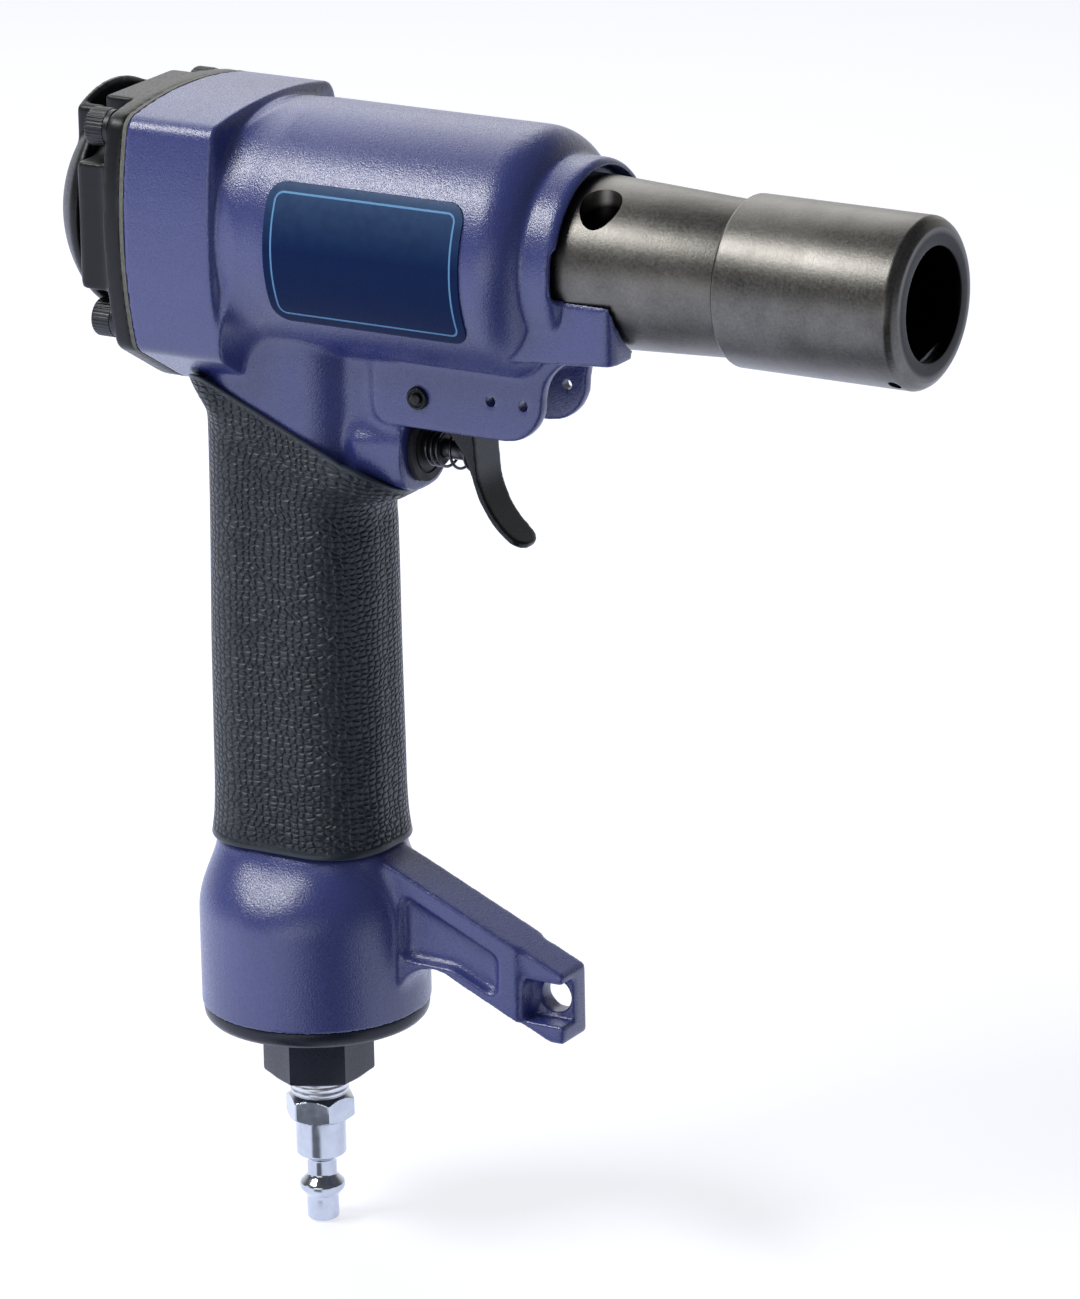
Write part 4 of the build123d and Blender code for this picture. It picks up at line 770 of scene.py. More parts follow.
class HAMMER_OT_casting(bpy.types.Operator):
    """Recasts the housing with filled inside corners and paints it"""

    bl_idname = "hammer.casting"
    bl_label = "Casting"

    def execute(self, context):
        sizes = context.scene.hammer_sizes
        flange_rear, bell_end = span("housing", 0)[0], span("housing", 2)[0]
        flange_depth = 22.4
        flange_front = flange_rear - HANDLE_X + flange_depth
        bore_end = span("cylinder", 0)[1]
        seat = bore_end + 18.0
        tube_r = span("nose_tube", 1)[1]
        block_start, block_end = 20.0, 33.3
        ear_z, ear_r = -32.3, 1.25
        # Rows: place ahead, height, radius
        holes = [(PIVOT_X, PIVOT_Z, 2.1), (HANDLE_X + 56.7, ear_z, ear_r), (HANDLE_X + 65.0, ear_z, ear_r)]

        def weigh(places):
            """Filling is full at the throat, slight on the machined front and the arm, none at the holes."""
            x, height = places[:, 0] - HANDLE_X, places[:, 2]
            throat = held((x - flange_front - 1.5) / 4.0) * held((34.0 - x) / 12.0)
            arm = near(places, (HANDLE_X + 48.0, 0, -168.0), (22.0, 9.0, 20.0), 3.0)
            cradle = (x > 70.0) & (round_the_axis(places, BARREL, 0) < 21.5)
            hollow = near(places, (HANDLE_X + 42.0, 0, -166.0), (18.0, 5.4, 12.0), 1.0)
            ear_root = near(places, (PIVOT_X - 11.0, 0, -36.0), (4.0, 14.0, 12.0), 3.0)
            weight = (0.10 + 0.90 * throat) * (1.0 - 0.85 * arm) * np.where(cradle, 0.3, 1.0)
            weight = np.maximum(weight, 0.8 * np.maximum(hollow, ear_root))
            weight *= held((height - bell_end - 0.8) / 1.5)
            edge = np.maximum(0.55, weight)
            edge *= np.where(np.abs(x - flange_front) < 2.0, 0.2, 1.0)
            edge *= np.where(places[:, 0] < flange_rear + 1.0, 0.0, 1.0)
            edge *= np.where(height < bell_end + 1.0, 0.35, 1.0)
            for hole_x, hole_z, radius in holes:
                away = np.hypot(places[:, 0] - hole_x, height - hole_z) - radius
                clear = held((away - 0.5) / 1.5)
                weight *= clear
                edge *= clear
            return weight, edge

        def form(places):
            """Trues the barrel, draws it in ahead of the flange, and gives the valve block flat cheeks."""
            x, height = places[:, 0] - HANDLE_X, places[:, 2]
            ring = round_the_axis(places, BARREL, 0)
            share = held((x - flange_front) / DRAFT_RUN)
            drawn = BARREL_R - DRAFT * (1.0 - share) ** 1.6 + 0.4 * (ring - BARREL_R).clip(0.0)
            drawn = ring + (drawn - ring) * held((height + 20.0) / 9.0)
            chosen = (np.abs(ring - BARREL_R - 4.2) < 4.5) & (x > flange_front + 0.3) & (share < 1.0)
            set_radius(places, chosen, BARREL, 0, drawn)
            chosen = (np.abs(ring - BARREL_R) < 0.3) & (share == 1.0) & (places[:, 0] < bore_end + 6)
            set_radius(places, chosen, BARREL, 0, BARREL_R)
            across, side = height - VALVE_Z, np.abs(places[:, 1])
            # The cheeks follow a superellipse of this power
            square = 2.4
            fall = (1.0 - held(-across / BLOCK_R) ** square) ** (1 / square)
            grown = (BLOCK_R * cheek(x) * fall - side) * held((-43.0 - height) / 2.0)
            chosen = (np.hypot(side, across) > 8.6) & (x > block_start) & (x < block_end) & (across > -10.2)
            places[:, 1] += np.sign(places[:, 1]) * np.where(chosen, grown.clip(0.0), 0.0)

        # Rows: point on the axis, axis, radius, start, end
        bores = [
            (BARREL, 0, 24.55, flange_rear - 1, bore_end + 1),
            (BARREL, 0, 16.5, bore_end - 1, seat + 1),
            (BARREL, 0, tube_r + 0.35, seat - 1, HANDLE_X + 95),
            (HANDLE, 2, 21.0, bell_end - 1, bell_end + 18),
            ((0.0, 0.0, VALVE_Z), 0, 7.5, HANDLE_X - 1, HANDLE_X + 34),
        ]
        bores += [((hole_x, 0.0, hole_z), 1, radius, -13, 13) for hole_x, hole_z, radius in holes]
        mesh = recast(
            "housing", sizes.cast_cell, sizes.cast_passes, fill=0.62, shave=0.10, bores=bores,
            faces=[(0, flange_rear), (2, bell_end)], weigh=weigh, form=form, ratio=0.26,
        )
        self.trim(mesh, bell_end, flange_front, bore_end)
        add_piece("casting", mesh, "body", "cast_paint", "cast_blue", "housing")
        return {"FINISHED"}

    def trim(self, mesh, bell_end, flange_front, bore_end):
        """Shortens the bell's skirt by half of its last part, and seats the barrel under the label plate."""
        tolerance, sink = 0.12, 0.04
        places = vertices_of(mesh)
        skirt = bell_end + 2 * SKIRT
        height = places[:, 2]
        places[:, 2] = np.where(height < skirt, (height + skirt) / 2, height)
        skin = np.abs(round_the_axis(places, BARREL, 0) - BARREL_R) < tolerance
        along = (places[:, 0] - HANDLE_X > flange_front + DRAFT_RUN) & (places[:, 0] < bore_end)
        set_radius(places, skin & along, BARREL, 0, BARREL_R - sink)
        put_vertices(mesh, places)


def rounded_box(long_side, wide_side, corner, angle):
    """Points of rounded rectangles, arrays of sizes down the rows and angle across: each point is where a ray
    from the middle at that angle leaves the outline."""
    half_long = (long_side / 2)[:, None]
    half_wide = (wide_side / 2)[:, None]
    radius = corner[:, None]
    cosine, sine = np.cos(angle)[None, :], np.sin(angle)[None, :]
    flat = np.minimum(half_long / np.abs(cosine).clip(1e-9), half_wide / np.abs(sine).clip(1e-9))
    middle_x, middle_y = half_long - radius, half_wide - radius
    along = np.abs(cosine) * middle_x + np.abs(sine) * middle_y
    inner = along ** 2 - (middle_x ** 2 + middle_y ** 2 - radius ** 2)
    arc = along + np.sqrt(inner.clip(0.0))
    in_corner = (np.abs(cosine) * arc > middle_x) & (np.abs(sine) * arc > middle_y)
    reach = np.where(in_corner, arc, flat)
    return reach * cosine, reach * sine


def spline(knots, values, at):
    """Smooth curve through values at knots: cubic pieces whose slope at a knot is the mean of the slopes of
    the straight lines beside it."""
    knots, values = np.asarray(knots, float), np.asarray(values, float)
    runs = np.diff(values) / np.diff(knots)
    slope = np.concatenate([runs[:1], (runs[:-1] + runs[1:]) / 2, runs[-1:]])
    piece = np.clip(np.searchsorted(knots, at, side="right") - 1, 0, len(knots) - 2)
    width = knots[piece + 1] - knots[piece]
    t = (at - knots[piece]) / width
    return (
        (2 * t ** 3 - 3 * t ** 2 + 1) * values[piece]
        + (t ** 3 - 2 * t ** 2 + t) * width * slope[piece]
        + (-2 * t ** 3 + 3 * t ** 2) * values[piece + 1]
        + (t ** 3 - t ** 2) * width * slope[piece + 1]
    )


class HAMMER_OT_grip(bpy.types.Operator):
    """Builds the pebbled rubber grip: rounded rectangles down the handle, tipped and flared at its top"""

    bl_idname = "hammer.grip"
    bl_label = "Grip"

    def execute(self, context):
        foot = span("grip", 2)[0]
        throat_r, throat_drop, throat_end, tilt = 22.7, 24.5, 21.0, math.radians(23.5)
        block_r, block_start = 10.2, 12.0
        gap, inset, thickness = 0.15, 1.3, 2.8
        columns, rows, kept_rows, girth_row = 260, 400, 190, 200
        floor = -throat_drop - throat_r / math.cos(tilt)
        # Stations: height on the handle axis, tip, place ahead, level length, width, corner
        stations = np.array([
            (foot, 0.0, 0.0, 45.2, 35.3, 14.6),
            (foot + 5.5, 0.0, 0.0, 44.1, 34.2, 14.4),
            (foot + 25.0, 0.0, 0.0, 43.5, 33.5, 14.3),
            (-98.0, 0.0, 0.0, 43.1, 33.3, 14.3),
            (floor - 27.5, tilt / 2, 0.3, 42.3, 33.2, 14.2),
            (floor - 14.0, tilt * 0.85, 0.4, 41.9, 32.7, 14.0),
            (floor - 7.5, tilt, 0.4, 41.8, 32.5, 14.0),
            (floor - 3.5, tilt, 1.0, 43.2, 32.4, 14.0),
            (floor - 1.5, tilt, 1.7, 45.4, 32.6, 14.1),
            (floor, tilt, 2.6, 49.2, 32.9, 14.2),
            (floor + 2.0, tilt, 2.8, 53.2, 33.2, 14.3),
            (floor + 5.0, tilt, 2.8, 56.6, 33.6, 14.3),
            (floor + 11.0, tilt, 2.8, 59.8, 34.0, 14.4),
        ])
        angle = circle(columns)
        at = np.linspace(stations[0, 0], stations[-1, 0], rows)
        tip, ahead, long_side, wide_side, corner = (
            spline(stations[:, 0], stations[:, column], at) for column in range(1, 6)
        )
        long_side = long_side / np.cos(tip)

        def surface(inset):
            """Outline points of every row, drawn in by inset."""
            drawn = long_side - 2 * inset, wide_side - 2 * inset, corner - inset
            local_x, local_y = rounded_box(*drawn, angle)
            local_x = local_x + ahead[:, None]
            cosine, sine = np.cos(tip)[:, None], np.sin(tip)[:, None]
            return np.stack([HANDLE_X + local_x * cosine, local_y, at[:, None] - local_x * sine], axis=-1)

        def below_casting(points):
            """Distance outside the slanted throat, which ends at the valve block, and outside the block."""
            x = points[..., 0] - HANDLE_X
            y, z = points[..., 1], points[..., 2]
            across = np.minimum(x, throat_end) * math.sin(tilt) + (z + throat_drop) * math.cos(tilt)
            throat = np.hypot(y, across) - throat_r
            block = np.hypot(y / cheek(x), z - VALVE_Z) - block_r
            return np.where(x > block_start, np.minimum(throat, block), throat)

        outer = surface(0.0)
        clear = below_casting(outer) - gap
        top_row = np.argmax(clear < 0.0, axis=0)
        column = np.arange(columns)
        before, after = clear[top_row - 1, column], clear[top_row, column]
        top = top_row - before / (after - before)
        wanted = np.linspace(0.0, 1.0, kept_rows)[:, None] * top[None, :]
        low = np.clip(wanted.astype(int), 0, rows - 2)
        part = (wanted - low)[..., None]

        def fitted(grid):
            """Rows of a surface spread evenly between the foot and the casting."""
            return grid[low, column] * (1 - part) + grid[low + 1, column] * part

        skin = fitted(outer)
        normal_in = (fitted(surface(inset)) - skin) / inset
        # Foot and lip roll in to the handle core
        up = np.array([0.0, 0.0, 1.0])
        foot_in = skin[0] + normal_in[0] * 3.6
        roll = [
            foot_in + up * 3.0,
            foot_in,
            skin[0] + normal_in[0] * 0.45,
            skin[0] + normal_in[0] * 0.12 + up * 0.12,
            skin[0] + up * 0.45,
        ]
        lip = [
            skin[-1] * 0.7 + skin[-2] * 0.3,
            skin[-1] + normal_in[-1] * 0.15,
            skin[-1] + normal_in[-1] * 0.6 + up * 0.1,
            skin[-1] + normal_in[-1] * 1.5 - up * 0.6,
        ]
        wall = (skin + normal_in * thickness)[-8:8:-6]
        points = np.concatenate([np.stack(roll), skin[2:-1], np.stack(lip), wall, roll[0][None]])
        steps = np.linalg.norm(np.diff(points, axis=0), axis=2)
        upward = np.concatenate([np.zeros((1, columns)), np.cumsum(steps, axis=0)])
        girth = np.cumsum(np.linalg.norm(np.diff(outer[girth_row], axis=0), axis=1))
        around = np.repeat(np.concatenate([[0.0], girth])[None, :], len(points), axis=0)
        uv = np.stack([around, upward], axis=-1) * MM
        rim = self.rim(upward, len(roll) + len(skin) - 3)
        mesh = grid_mesh("grip_skin", points, uv=uv, fields={"rim": rim})
        mesh.shade_smooth()
        add_piece("grip_skin", mesh, "body", "pebbled_rubber", "grip_rubber", "grip")
        return {"FINISHED"}

    def rim(self, upward, lip_row):
        """1 on the plain strips along both edges of the grip, 0 on the pebbles."""
        foot_strip, foot_fade, lip_strip, lip_fade = 8.0, 1.2, 0.6, 0.8
        low = held((upward - foot_strip) / foot_fade)
        high = held((upward[lip_row] - upward - lip_strip) / lip_fade)
        return 1.0 - low * high


class HAMMER_OT_rear(bpy.types.Operator):
    """Dresses the rear cap, its gasket, the deflector and the knurled cap screws"""

    bl_idname = "hammer.rear"
    bl_label = "Rear cap"

    def execute(self, context):
        cap_front = span("rear_cap", 0)[1]
        cap = recast(
            "rear_cap", cell=0.0005, passes=10, fill=0.35, shave=0.30, faces=[(0, cap_front)], ratio=0.6,
            bores=[(BARREL, 0, 18.0, cap_front - 10, cap_front + 1)],
        )
        add_piece("cap_body", cap, "body", "black_paint", "cap_black", "rear_cap")
        cup = recast(
            "exhaust_deflector", cell=0.00045, passes=12, fill=0.35, shave=0.32, ratio=0.7,
            bores=[(BARREL, 0, 2.98, -230, -190)],
        )
        add_piece("deflector_cup", cup, "deflector", "black_paint", "cap_black", "exhaust_deflector")
        dress_nodes(
            cap_gasket="gasket_fibre", lock_washers="black_oxide",
            deflector_bush="dark_steel", deflector_screw="black_oxide",
        )
        self.screws(context.scene.hammer_sizes.knurls)
        return {"FINISHED"}

    def screws(self, knurls):
        """Four socket heads: ridges round the side are a cosine in the radius, the socket is a hexagon."""
        (rear, front), sides, heights = (span("cap_screws", axis) for axis in range(3))
        head_r, shank_r, head, flats, socket, ridge_depth, per_ridge = 4.4, 2.45, 5.0, 4.0, 2.6, 0.14, 8
        end = front - rear
        # Rows: place along the screw, radius, share of knurl, share of hexagon
        rows = np.array([
            (socket, 0.0, 0, 0), (socket, flats / 2, 0, 1), (0.25, flats / 2, 0, 1),
            (0.0, flats / 2 + 0.25, 0, 0.6), (0.0, head_r - 0.75, 0, 0), (0.22, head_r - 0.28, 0.1, 0),
            (0.55, head_r - 0.06, 0.6, 0), (0.75, head_r, 1, 0), (head - 0.5, head_r, 1, 0),
            (head - 0.1, head_r - 0.05, 0.4, 0), (head, head_r - 0.3, 0, 0), (head, shank_r, 0, 0),
            (end - 0.4, shank_r, 0, 0), (end, shank_r - 0.4, 0, 0), (end, 0.0, 0, 0),
        ])

        def shape(radius, row, angle):
            """Radius less the ridges, plus the hexagon's corners."""
            ridge = ridge_depth * (0.5 - 0.5 * np.cos(knurls * angle)) * rows[row, 2]
            hexagon = hexagon_radius(flats, angle) - flats / 2
            return radius - ridge + hexagon * rows[row, 3]

        columns, levels = ((low + head_r, high - head_r) for low, high in (sides, heights))
        centres = [(rear, y, z) for y in columns for z in levels]
        for number, centre in enumerate(centres, 1):
            mesh = lathe("cap_screw", rows[:, :2], centre, 0, knurls * per_ridge, shape)
            smooth_to(mesh, 32)
            piece = add_piece(f"cap_screw_{number}", mesh, "body", "black_oxide", "screw_black")
            if number == 1:
                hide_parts("cap_screws")


class HAMMER_OT_nose(bpy.types.Operator):
    """Turns the nose tube and the sleeve, with its index key and pin"""

    bl_idname = "hammer.nose"
    bl_label = "Nose"

    def execute(self, context):
        edge = context.scene.hammer_sizes.edge / MM
        self.tube(edge)
        self.sleeve(edge)
        block = node_copy("index_key")
        key = run_modifier(
            block, "BEVEL", width=0.00035, segments=2, limit_method="ANGLE", harden_normals=False
        )
        smooth_to(key, 40)
        add_piece("index_key_block", key, "sleeve", "key_steel", "dark_steel", "index_key")
        dress_nodes(key_pin="dark_steel")
        return {"FINISHED"}

    def turn(self, name, profile, edge, hole, body, replaced):
        """Links a part turned about the barrel's axis, with rounded edges and a hole cut in it."""
        mesh = cut(lathe(name, rounded(profile, edge, 3), BARREL, 0, 192), hole)
        smooth_to(mesh, 28)
        add_piece(f"turned_{name}", mesh, body, "turned_steel", "gunmetal", replaced)

    def tube(self, edge):
        """Tube on its spigot, tapered to the sleeve, with a blind hole down into its near side."""
        rear, front = span("nose_tube", 0)
        shoulder, guide, neck = rear + 18.0, rear + 20.0, rear + 23.0
        taper_end = span("holder_sleeve", 0)[0] - 0.2
        guide_r, spigot_r, tube_r, taper_r, thread_r, mouth_r = 6.98, 16.4, 19.0, 17.2, 16.0, 9.5
        profile = [
            (guide, guide_r), (rear, guide_r), (rear, spigot_r), (shoulder, spigot_r), (shoulder, tube_r),
            (neck, tube_r), (taper_end, taper_r), (taper_end, thread_r), (front, thread_r), (front, mouth_r),
            (front - 9.0, guide_r), (guide, guide_r),
        ]
        hole_x, hole_y, hole_r, floor, top = neck + 5.3, -10.4, 4.7, 3.0, 30.0
        rows = [(floor, 0.0), (floor, hole_r), (17.5, hole_r), (top, hole_r), (top, 0.0)]
        hole = lathe("hole", rows, (hole_x, hole_y, 0.0), axis=2, segments=72)
        self.turn("tube", profile, edge, hole, "body", "nose_tube")

    def sleeve(self, edge):
        """Sleeve with a relief behind its mouth, and a drilled hole for the key's pin."""
        rear, mouth = span("holder_sleeve", 0)
        outer_r = span("holder_sleeve", 1)[1]
        middle, relief, socket = rear + 8.0, mouth - 2.2, mouth - 11.0
        thread_r, mouth_r, relief_r = 16.1, 12.7, 13.5
        profile = [
            (middle, thread_r), (rear, thread_r), (rear, outer_r - 0.6), (rear + 0.6, outer_r),
            (mouth - 2.3, outer_r), (mouth - 1.0, outer_r - 0.75), (mouth, outer_r - 2.15), (mouth, mouth_r),
            (relief, mouth_r), (relief, relief_r), (socket, relief_r), (socket, thread_r), (middle, thread_r),
        ]
        slant, pin_r, pin_drop, sides, stops = math.radians(12.5), 1.4, 13.0, 40, (-25.0, 0.0)
        across = np.array([0.0, math.cos(slant), math.sin(slant)])
        down = np.array([0.0, math.sin(slant), -math.cos(slant)])
        centre = down * pin_drop
        angle = circle(sides)
        ring = pin_r * (np.cos(angle)[:, None] * np.array([1.0, 0.0, 0.0]) + np.sin(angle)[:, None] * down)
        rows = [centre + across * stop + ring for stop in stops]
        poles = [np.repeat((centre + across * stop)[None, :], sides, axis=0) for stop in stops]
        pin_x = sum(span("key_pin", 0)) / 2
        drill = grid_mesh("drill", np.stack([poles[0], *rows, poles[1]]) + np.array([pin_x, 0.0, 0.0]))
        self.turn("sleeve", profile, edge, drill, "sleeve", "holder_sleeve")


def coil_mesh(name, axis_z, radius, wire, start, close_turns, close_pitch, open_turns, open_pitch):
    """Tube of wire on a coil about an axis along X: the place along it grows by the pitch each turn."""
    steps, sides = 64, 18
    turns = np.linspace(0.0, close_turns + open_turns, int((close_turns + open_turns) * steps) + 1)
    close = np.minimum(turns, close_turns)
    along = start + close * close_pitch + (turns - close) * open_pitch
    angle = 2 * np.pi * turns
    path = np.stack([along, radius * np.cos(angle), axis_z + radius * np.sin(angle)], axis=1)
    ahead = np.gradient(path, axis=0)
    ahead /= np.linalg.norm(ahead, axis=1, keepdims=True)
    out = np.stack([np.zeros_like(angle), np.cos(angle), np.sin(angle)], axis=1)
    side = np.cross(ahead, out)
    around = circle(sides)[None, :, None]
    ring = wire / 2 * (np.cos(around) * out[:, None] + np.sin(around) * side[:, None])
    ends = [np.repeat(path[place][None, None], sides, axis=1) for place in (0, -1)]
    mesh = grid_mesh(name, np.concatenate([ends[0], path[:, None] + ring, ends[1]]))
    smooth_to(mesh, 50)
    return mesh


class HAMMER_OT_trigger(bpy.types.Operator):
    """Dresses the trigger, its pin, valve and springs"""

    bl_idname = "hammer.trigger"
    bl_label = "Trigger"

    def execute(self, context):
        pivot = (PIVOT_X, 0.0, PIVOT_Z)
        bores = [(pivot, 1, 2.08, -7, 7)]
        lever = recast("trigger", cell=0.0003, passes=10, fill=0.3, shave=0.4, bores=bores)
        add_piece("trigger_lever", lever, "trigger_lever", "trigger_black", "trigger_black", "trigger")
        dress_nodes(
            trigger_pin_clip="spring_wire", trigger_spacers="dark_steel", trigger_valve_body="valve_plastic",
            trigger_valve_seals="seal_rubber", valve_stem="dark_steel",
        )
        head, end = span("trigger_pin", 1)
        stub_r, head_r, pin_r, groove_r = 1.4, 2.6, 2.0, 1.5
        neck, under, groove = head + 0.95, head + 1.7, end - 2.05
        groove_end = groove + 0.8
        profile = [
            (head, 0.0), (head, 1.05), (head + 0.12, 1.3), (head + 0.4, stub_r), (neck, stub_r), (neck, 1.72),
            (head + 0.74, 1.95), (head + 0.72, 2.2), (head + 0.85, 2.45), (head + 1.15, head_r),
            (under, head_r), (under, pin_r), (groove, pin_r), (groove, groove_r), (groove_end, groove_r),
            (groove_end, pin_r), (end - 0.3, pin_r), (end, pin_r - 0.3), (end, 0.0),
        ]
        add_turned(
            "pivot_pin", profile, pivot, 1, "trigger_black", "screw_black", "trigger_pin",
            segments=96, crease=40,
        )
        low, high = span("trigger_spring", 0)
        wire, radius, close_turns, close_pitch, open_turns = 0.7, 4.05, 2.5, 1.4, 2.5
        open_pitch = (high - low - wire - close_turns * close_pitch) / open_turns
        turns = close_turns, close_pitch, open_turns, open_pitch
        mesh = coil_mesh("trigger_coil", VALVE_Z, radius, wire, low + wire / 2, *turns)
        piece = add_piece("trigger_coil", mesh, "body", "spring_wire", "spring_steel", "trigger_spring")
        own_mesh(piece)
        low, high = span("head_valve_spring", 0)
        wire, radius, turns = 0.9, 13.0, 3
        pitch = (high - low - wire) / turns
        mesh = coil_mesh("valve_coil", 0.0, radius, wire, low + wire / 2, 0.0, 0.0, turns, pitch)
        piece = add_piece("valve_coil", mesh, "body", "spring_wire", "spring_steel", "head_valve_spring")
        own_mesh(piece)
        return {"FINISHED"}


class HAMMER_OT_inlet(bpy.types.Operator):
    """Turns the end cap, the taped thread and the air plug"""

    bl_idname = "hammer.inlet"
    bl_label = "Inlet"

    def execute(self, context):
        self.end_cap()
        dress_nodes(end_cap_seal="seal_rubber")
        self.plug()
        low, high = span("thread_tape", 2)
        thread_r, ridge, pitch = 6.62, 0.24, 1.41
        place = np.linspace(low, high, 60)
        wrap = thread_r + ridge * np.abs(np.sin(np.pi * (place - low) / pitch))
        ends = [(high, thread_r), (low, thread_r)]
        profile = np.concatenate([ends[1:], np.column_stack([place, wrap]), ends])
        add_turned(
            "tape_wrap", profile, HANDLE, 2, "thread_tape_finish", "tape", "thread_tape",
            segments=120, crease=50,
        )
        return {"FINISHED"}

    def end_cap(self):
        """Cap in the bell with a rounded ring under the bell's end, and a bevelled hexagon below."""
        low, high = span("end_cap", 2)
        ring_top = span("housing", 2)[0] + SKIRT
        ring_low = ring_top - SKIRT - 2.6
        ring_r, bore_r, cap_r, flats = 26.1, 6.7, 20.9, 22.2
        flat_r = flats / 2
        # Rows: height, radius, share of hexagon
        rows = np.array([
            (high, bore_r, 0), (high, cap_r, 0), (ring_top, cap_r, 0), (ring_top, ring_r - 0.5, 0),
            (ring_top - 0.3, ring_r - 0.15, 0), (ring_top - 0.8, ring_r, 0), (ring_top - 1.6, ring_r, 0),
            (ring_low + 1.3, ring_r - 0.15, 0), (ring_low + 0.7, ring_r - 0.45, 0),
            (ring_low + 0.45, ring_r - 0.65, 0), (ring_low, ring_r - 1.1, 0), (ring_low, 14.5, 0),
            (ring_low, flat_r + 0.3, 1), (ring_low - 0.5, flat_r, 1), (low + 0.9, flat_r, 1),
            (low + 0.4, flat_r - 0.05, 0.92), (low, flat_r - 0.3, 0.55), (low, bore_r, 0), (high, bore_r, 0),
        ])

        def shape(radius, row, angle):
            """Radius with the hexagon's corners."""
            return radius + (hexagon_radius(flats, angle) - flat_r) * rows[row, 2]

        add_turned(
            "end_hexagon", rows[:, :2], HANDLE, 2, "end_cap_paint", "hex_navy", "end_cap",
            segments=240, crease=24, radius_of=shape,
        )

    def plug(self):
        """Plug: the thread's core, a bevelled hexagon, then the body, groove, collar and tip."""
        tip, top = span("air_plug", 2)
        hex_top = span("end_cap", 2)[0] - 5.0
        hex_low = hex_top - 6.5
        body_low = hex_low - 8.5
        groove = body_low - 1.5
        collar_top = groove - 4.0
        collar_low = collar_top - 5.2
        middle = (collar_top + collar_low) / 2
        body_r, neck_r, collar_r, tip_r, bore_r, thread_r, foot_r = 5.87, 3.45, 5.3, 3.76, 2.4, 6.6, 6.5
        across_flats, turn, edge = 14.29, math.radians(46.3), 0.6
        corners = [
            (hex_low, body_r), (body_low, body_r), (groove, neck_r), (collar_top, neck_r),
            (middle + 0.7, collar_r), (middle - 0.7, collar_r), (collar_low, tip_r), (tip + 0.5, tip_r),
            (tip, tip_r - 0.5), (tip, bore_r), (top, bore_r),
        ]
        smooth = rounded(corners, edge, 4)
        bevel = np.linspace(0.0, 1.0, 9)
        # Rows: height, radius, 1 where the hexagon's flats cut it
        head = [
            (top, bore_r, 0.0), (top, thread_r - 0.4, 0.0), (top - 0.6, thread_r, 0.0),
            (hex_top, thread_r, 0.0),
            *((hex_top - 1.5 * share, thread_r + 1.75 * share, 1.0) for share in bevel),
            *((hex_low + 1.2 * share, foot_r + 1.85 * share, 1.0) for share in bevel[::-1]),
            (hex_low, foot_r - 0.3, 0.0),
        ]
        rows = np.concatenate([np.array(head), np.column_stack([smooth, np.zeros(len(smooth))])])

        def shape(radius, row, angle):
            """Radius held within the hexagon's flats."""
            flats = hexagon_radius(across_flats, angle, turn)
            return np.where(rows[row, 2] > 0.0, np.minimum(radius, flats), radius)

        add_turned(
            "hose_plug", rows[:, :2], HANDLE, 2, "zinc_plate", "zinc", "air_plug",
            segments=180, crease=26, radius_of=shape,
        )


class HAMMER_OT_inside(bpy.types.Operator):
    """Finishes the hammer, cylinder and head valve inside the barrel, and the label plate on it"""

    bl_idname = "hammer.inside"
    bl_label = "Inside and label"

    def execute(self, context):
        dress_nodes(
            cylinder="alloy", cylinder_seals="seal_rubber", piston="bright_steel", piston_ring="dark_steel",
            ram="bright_steel", bumper="bumper_rubber", head_valve="alloy", head_valve_seals="seal_rubber",
            label_plate="label_finish",
        )
        return {"FINISHED"}


def softbox(name, away, target, width, depth, watts):
    """Rectangular area light that stands away from a point and faces it."""
    light = bpy.data.lights.new(name, "AREA")
    light.shape = "RECTANGLE"
    light.size, light.size_y = width, depth
    light.energy = watts
    lamp = link(name, light)
    lamp.location = target + away
    lamp.rotation_euler = away.to_track_quat("Z", "Y").to_euler()


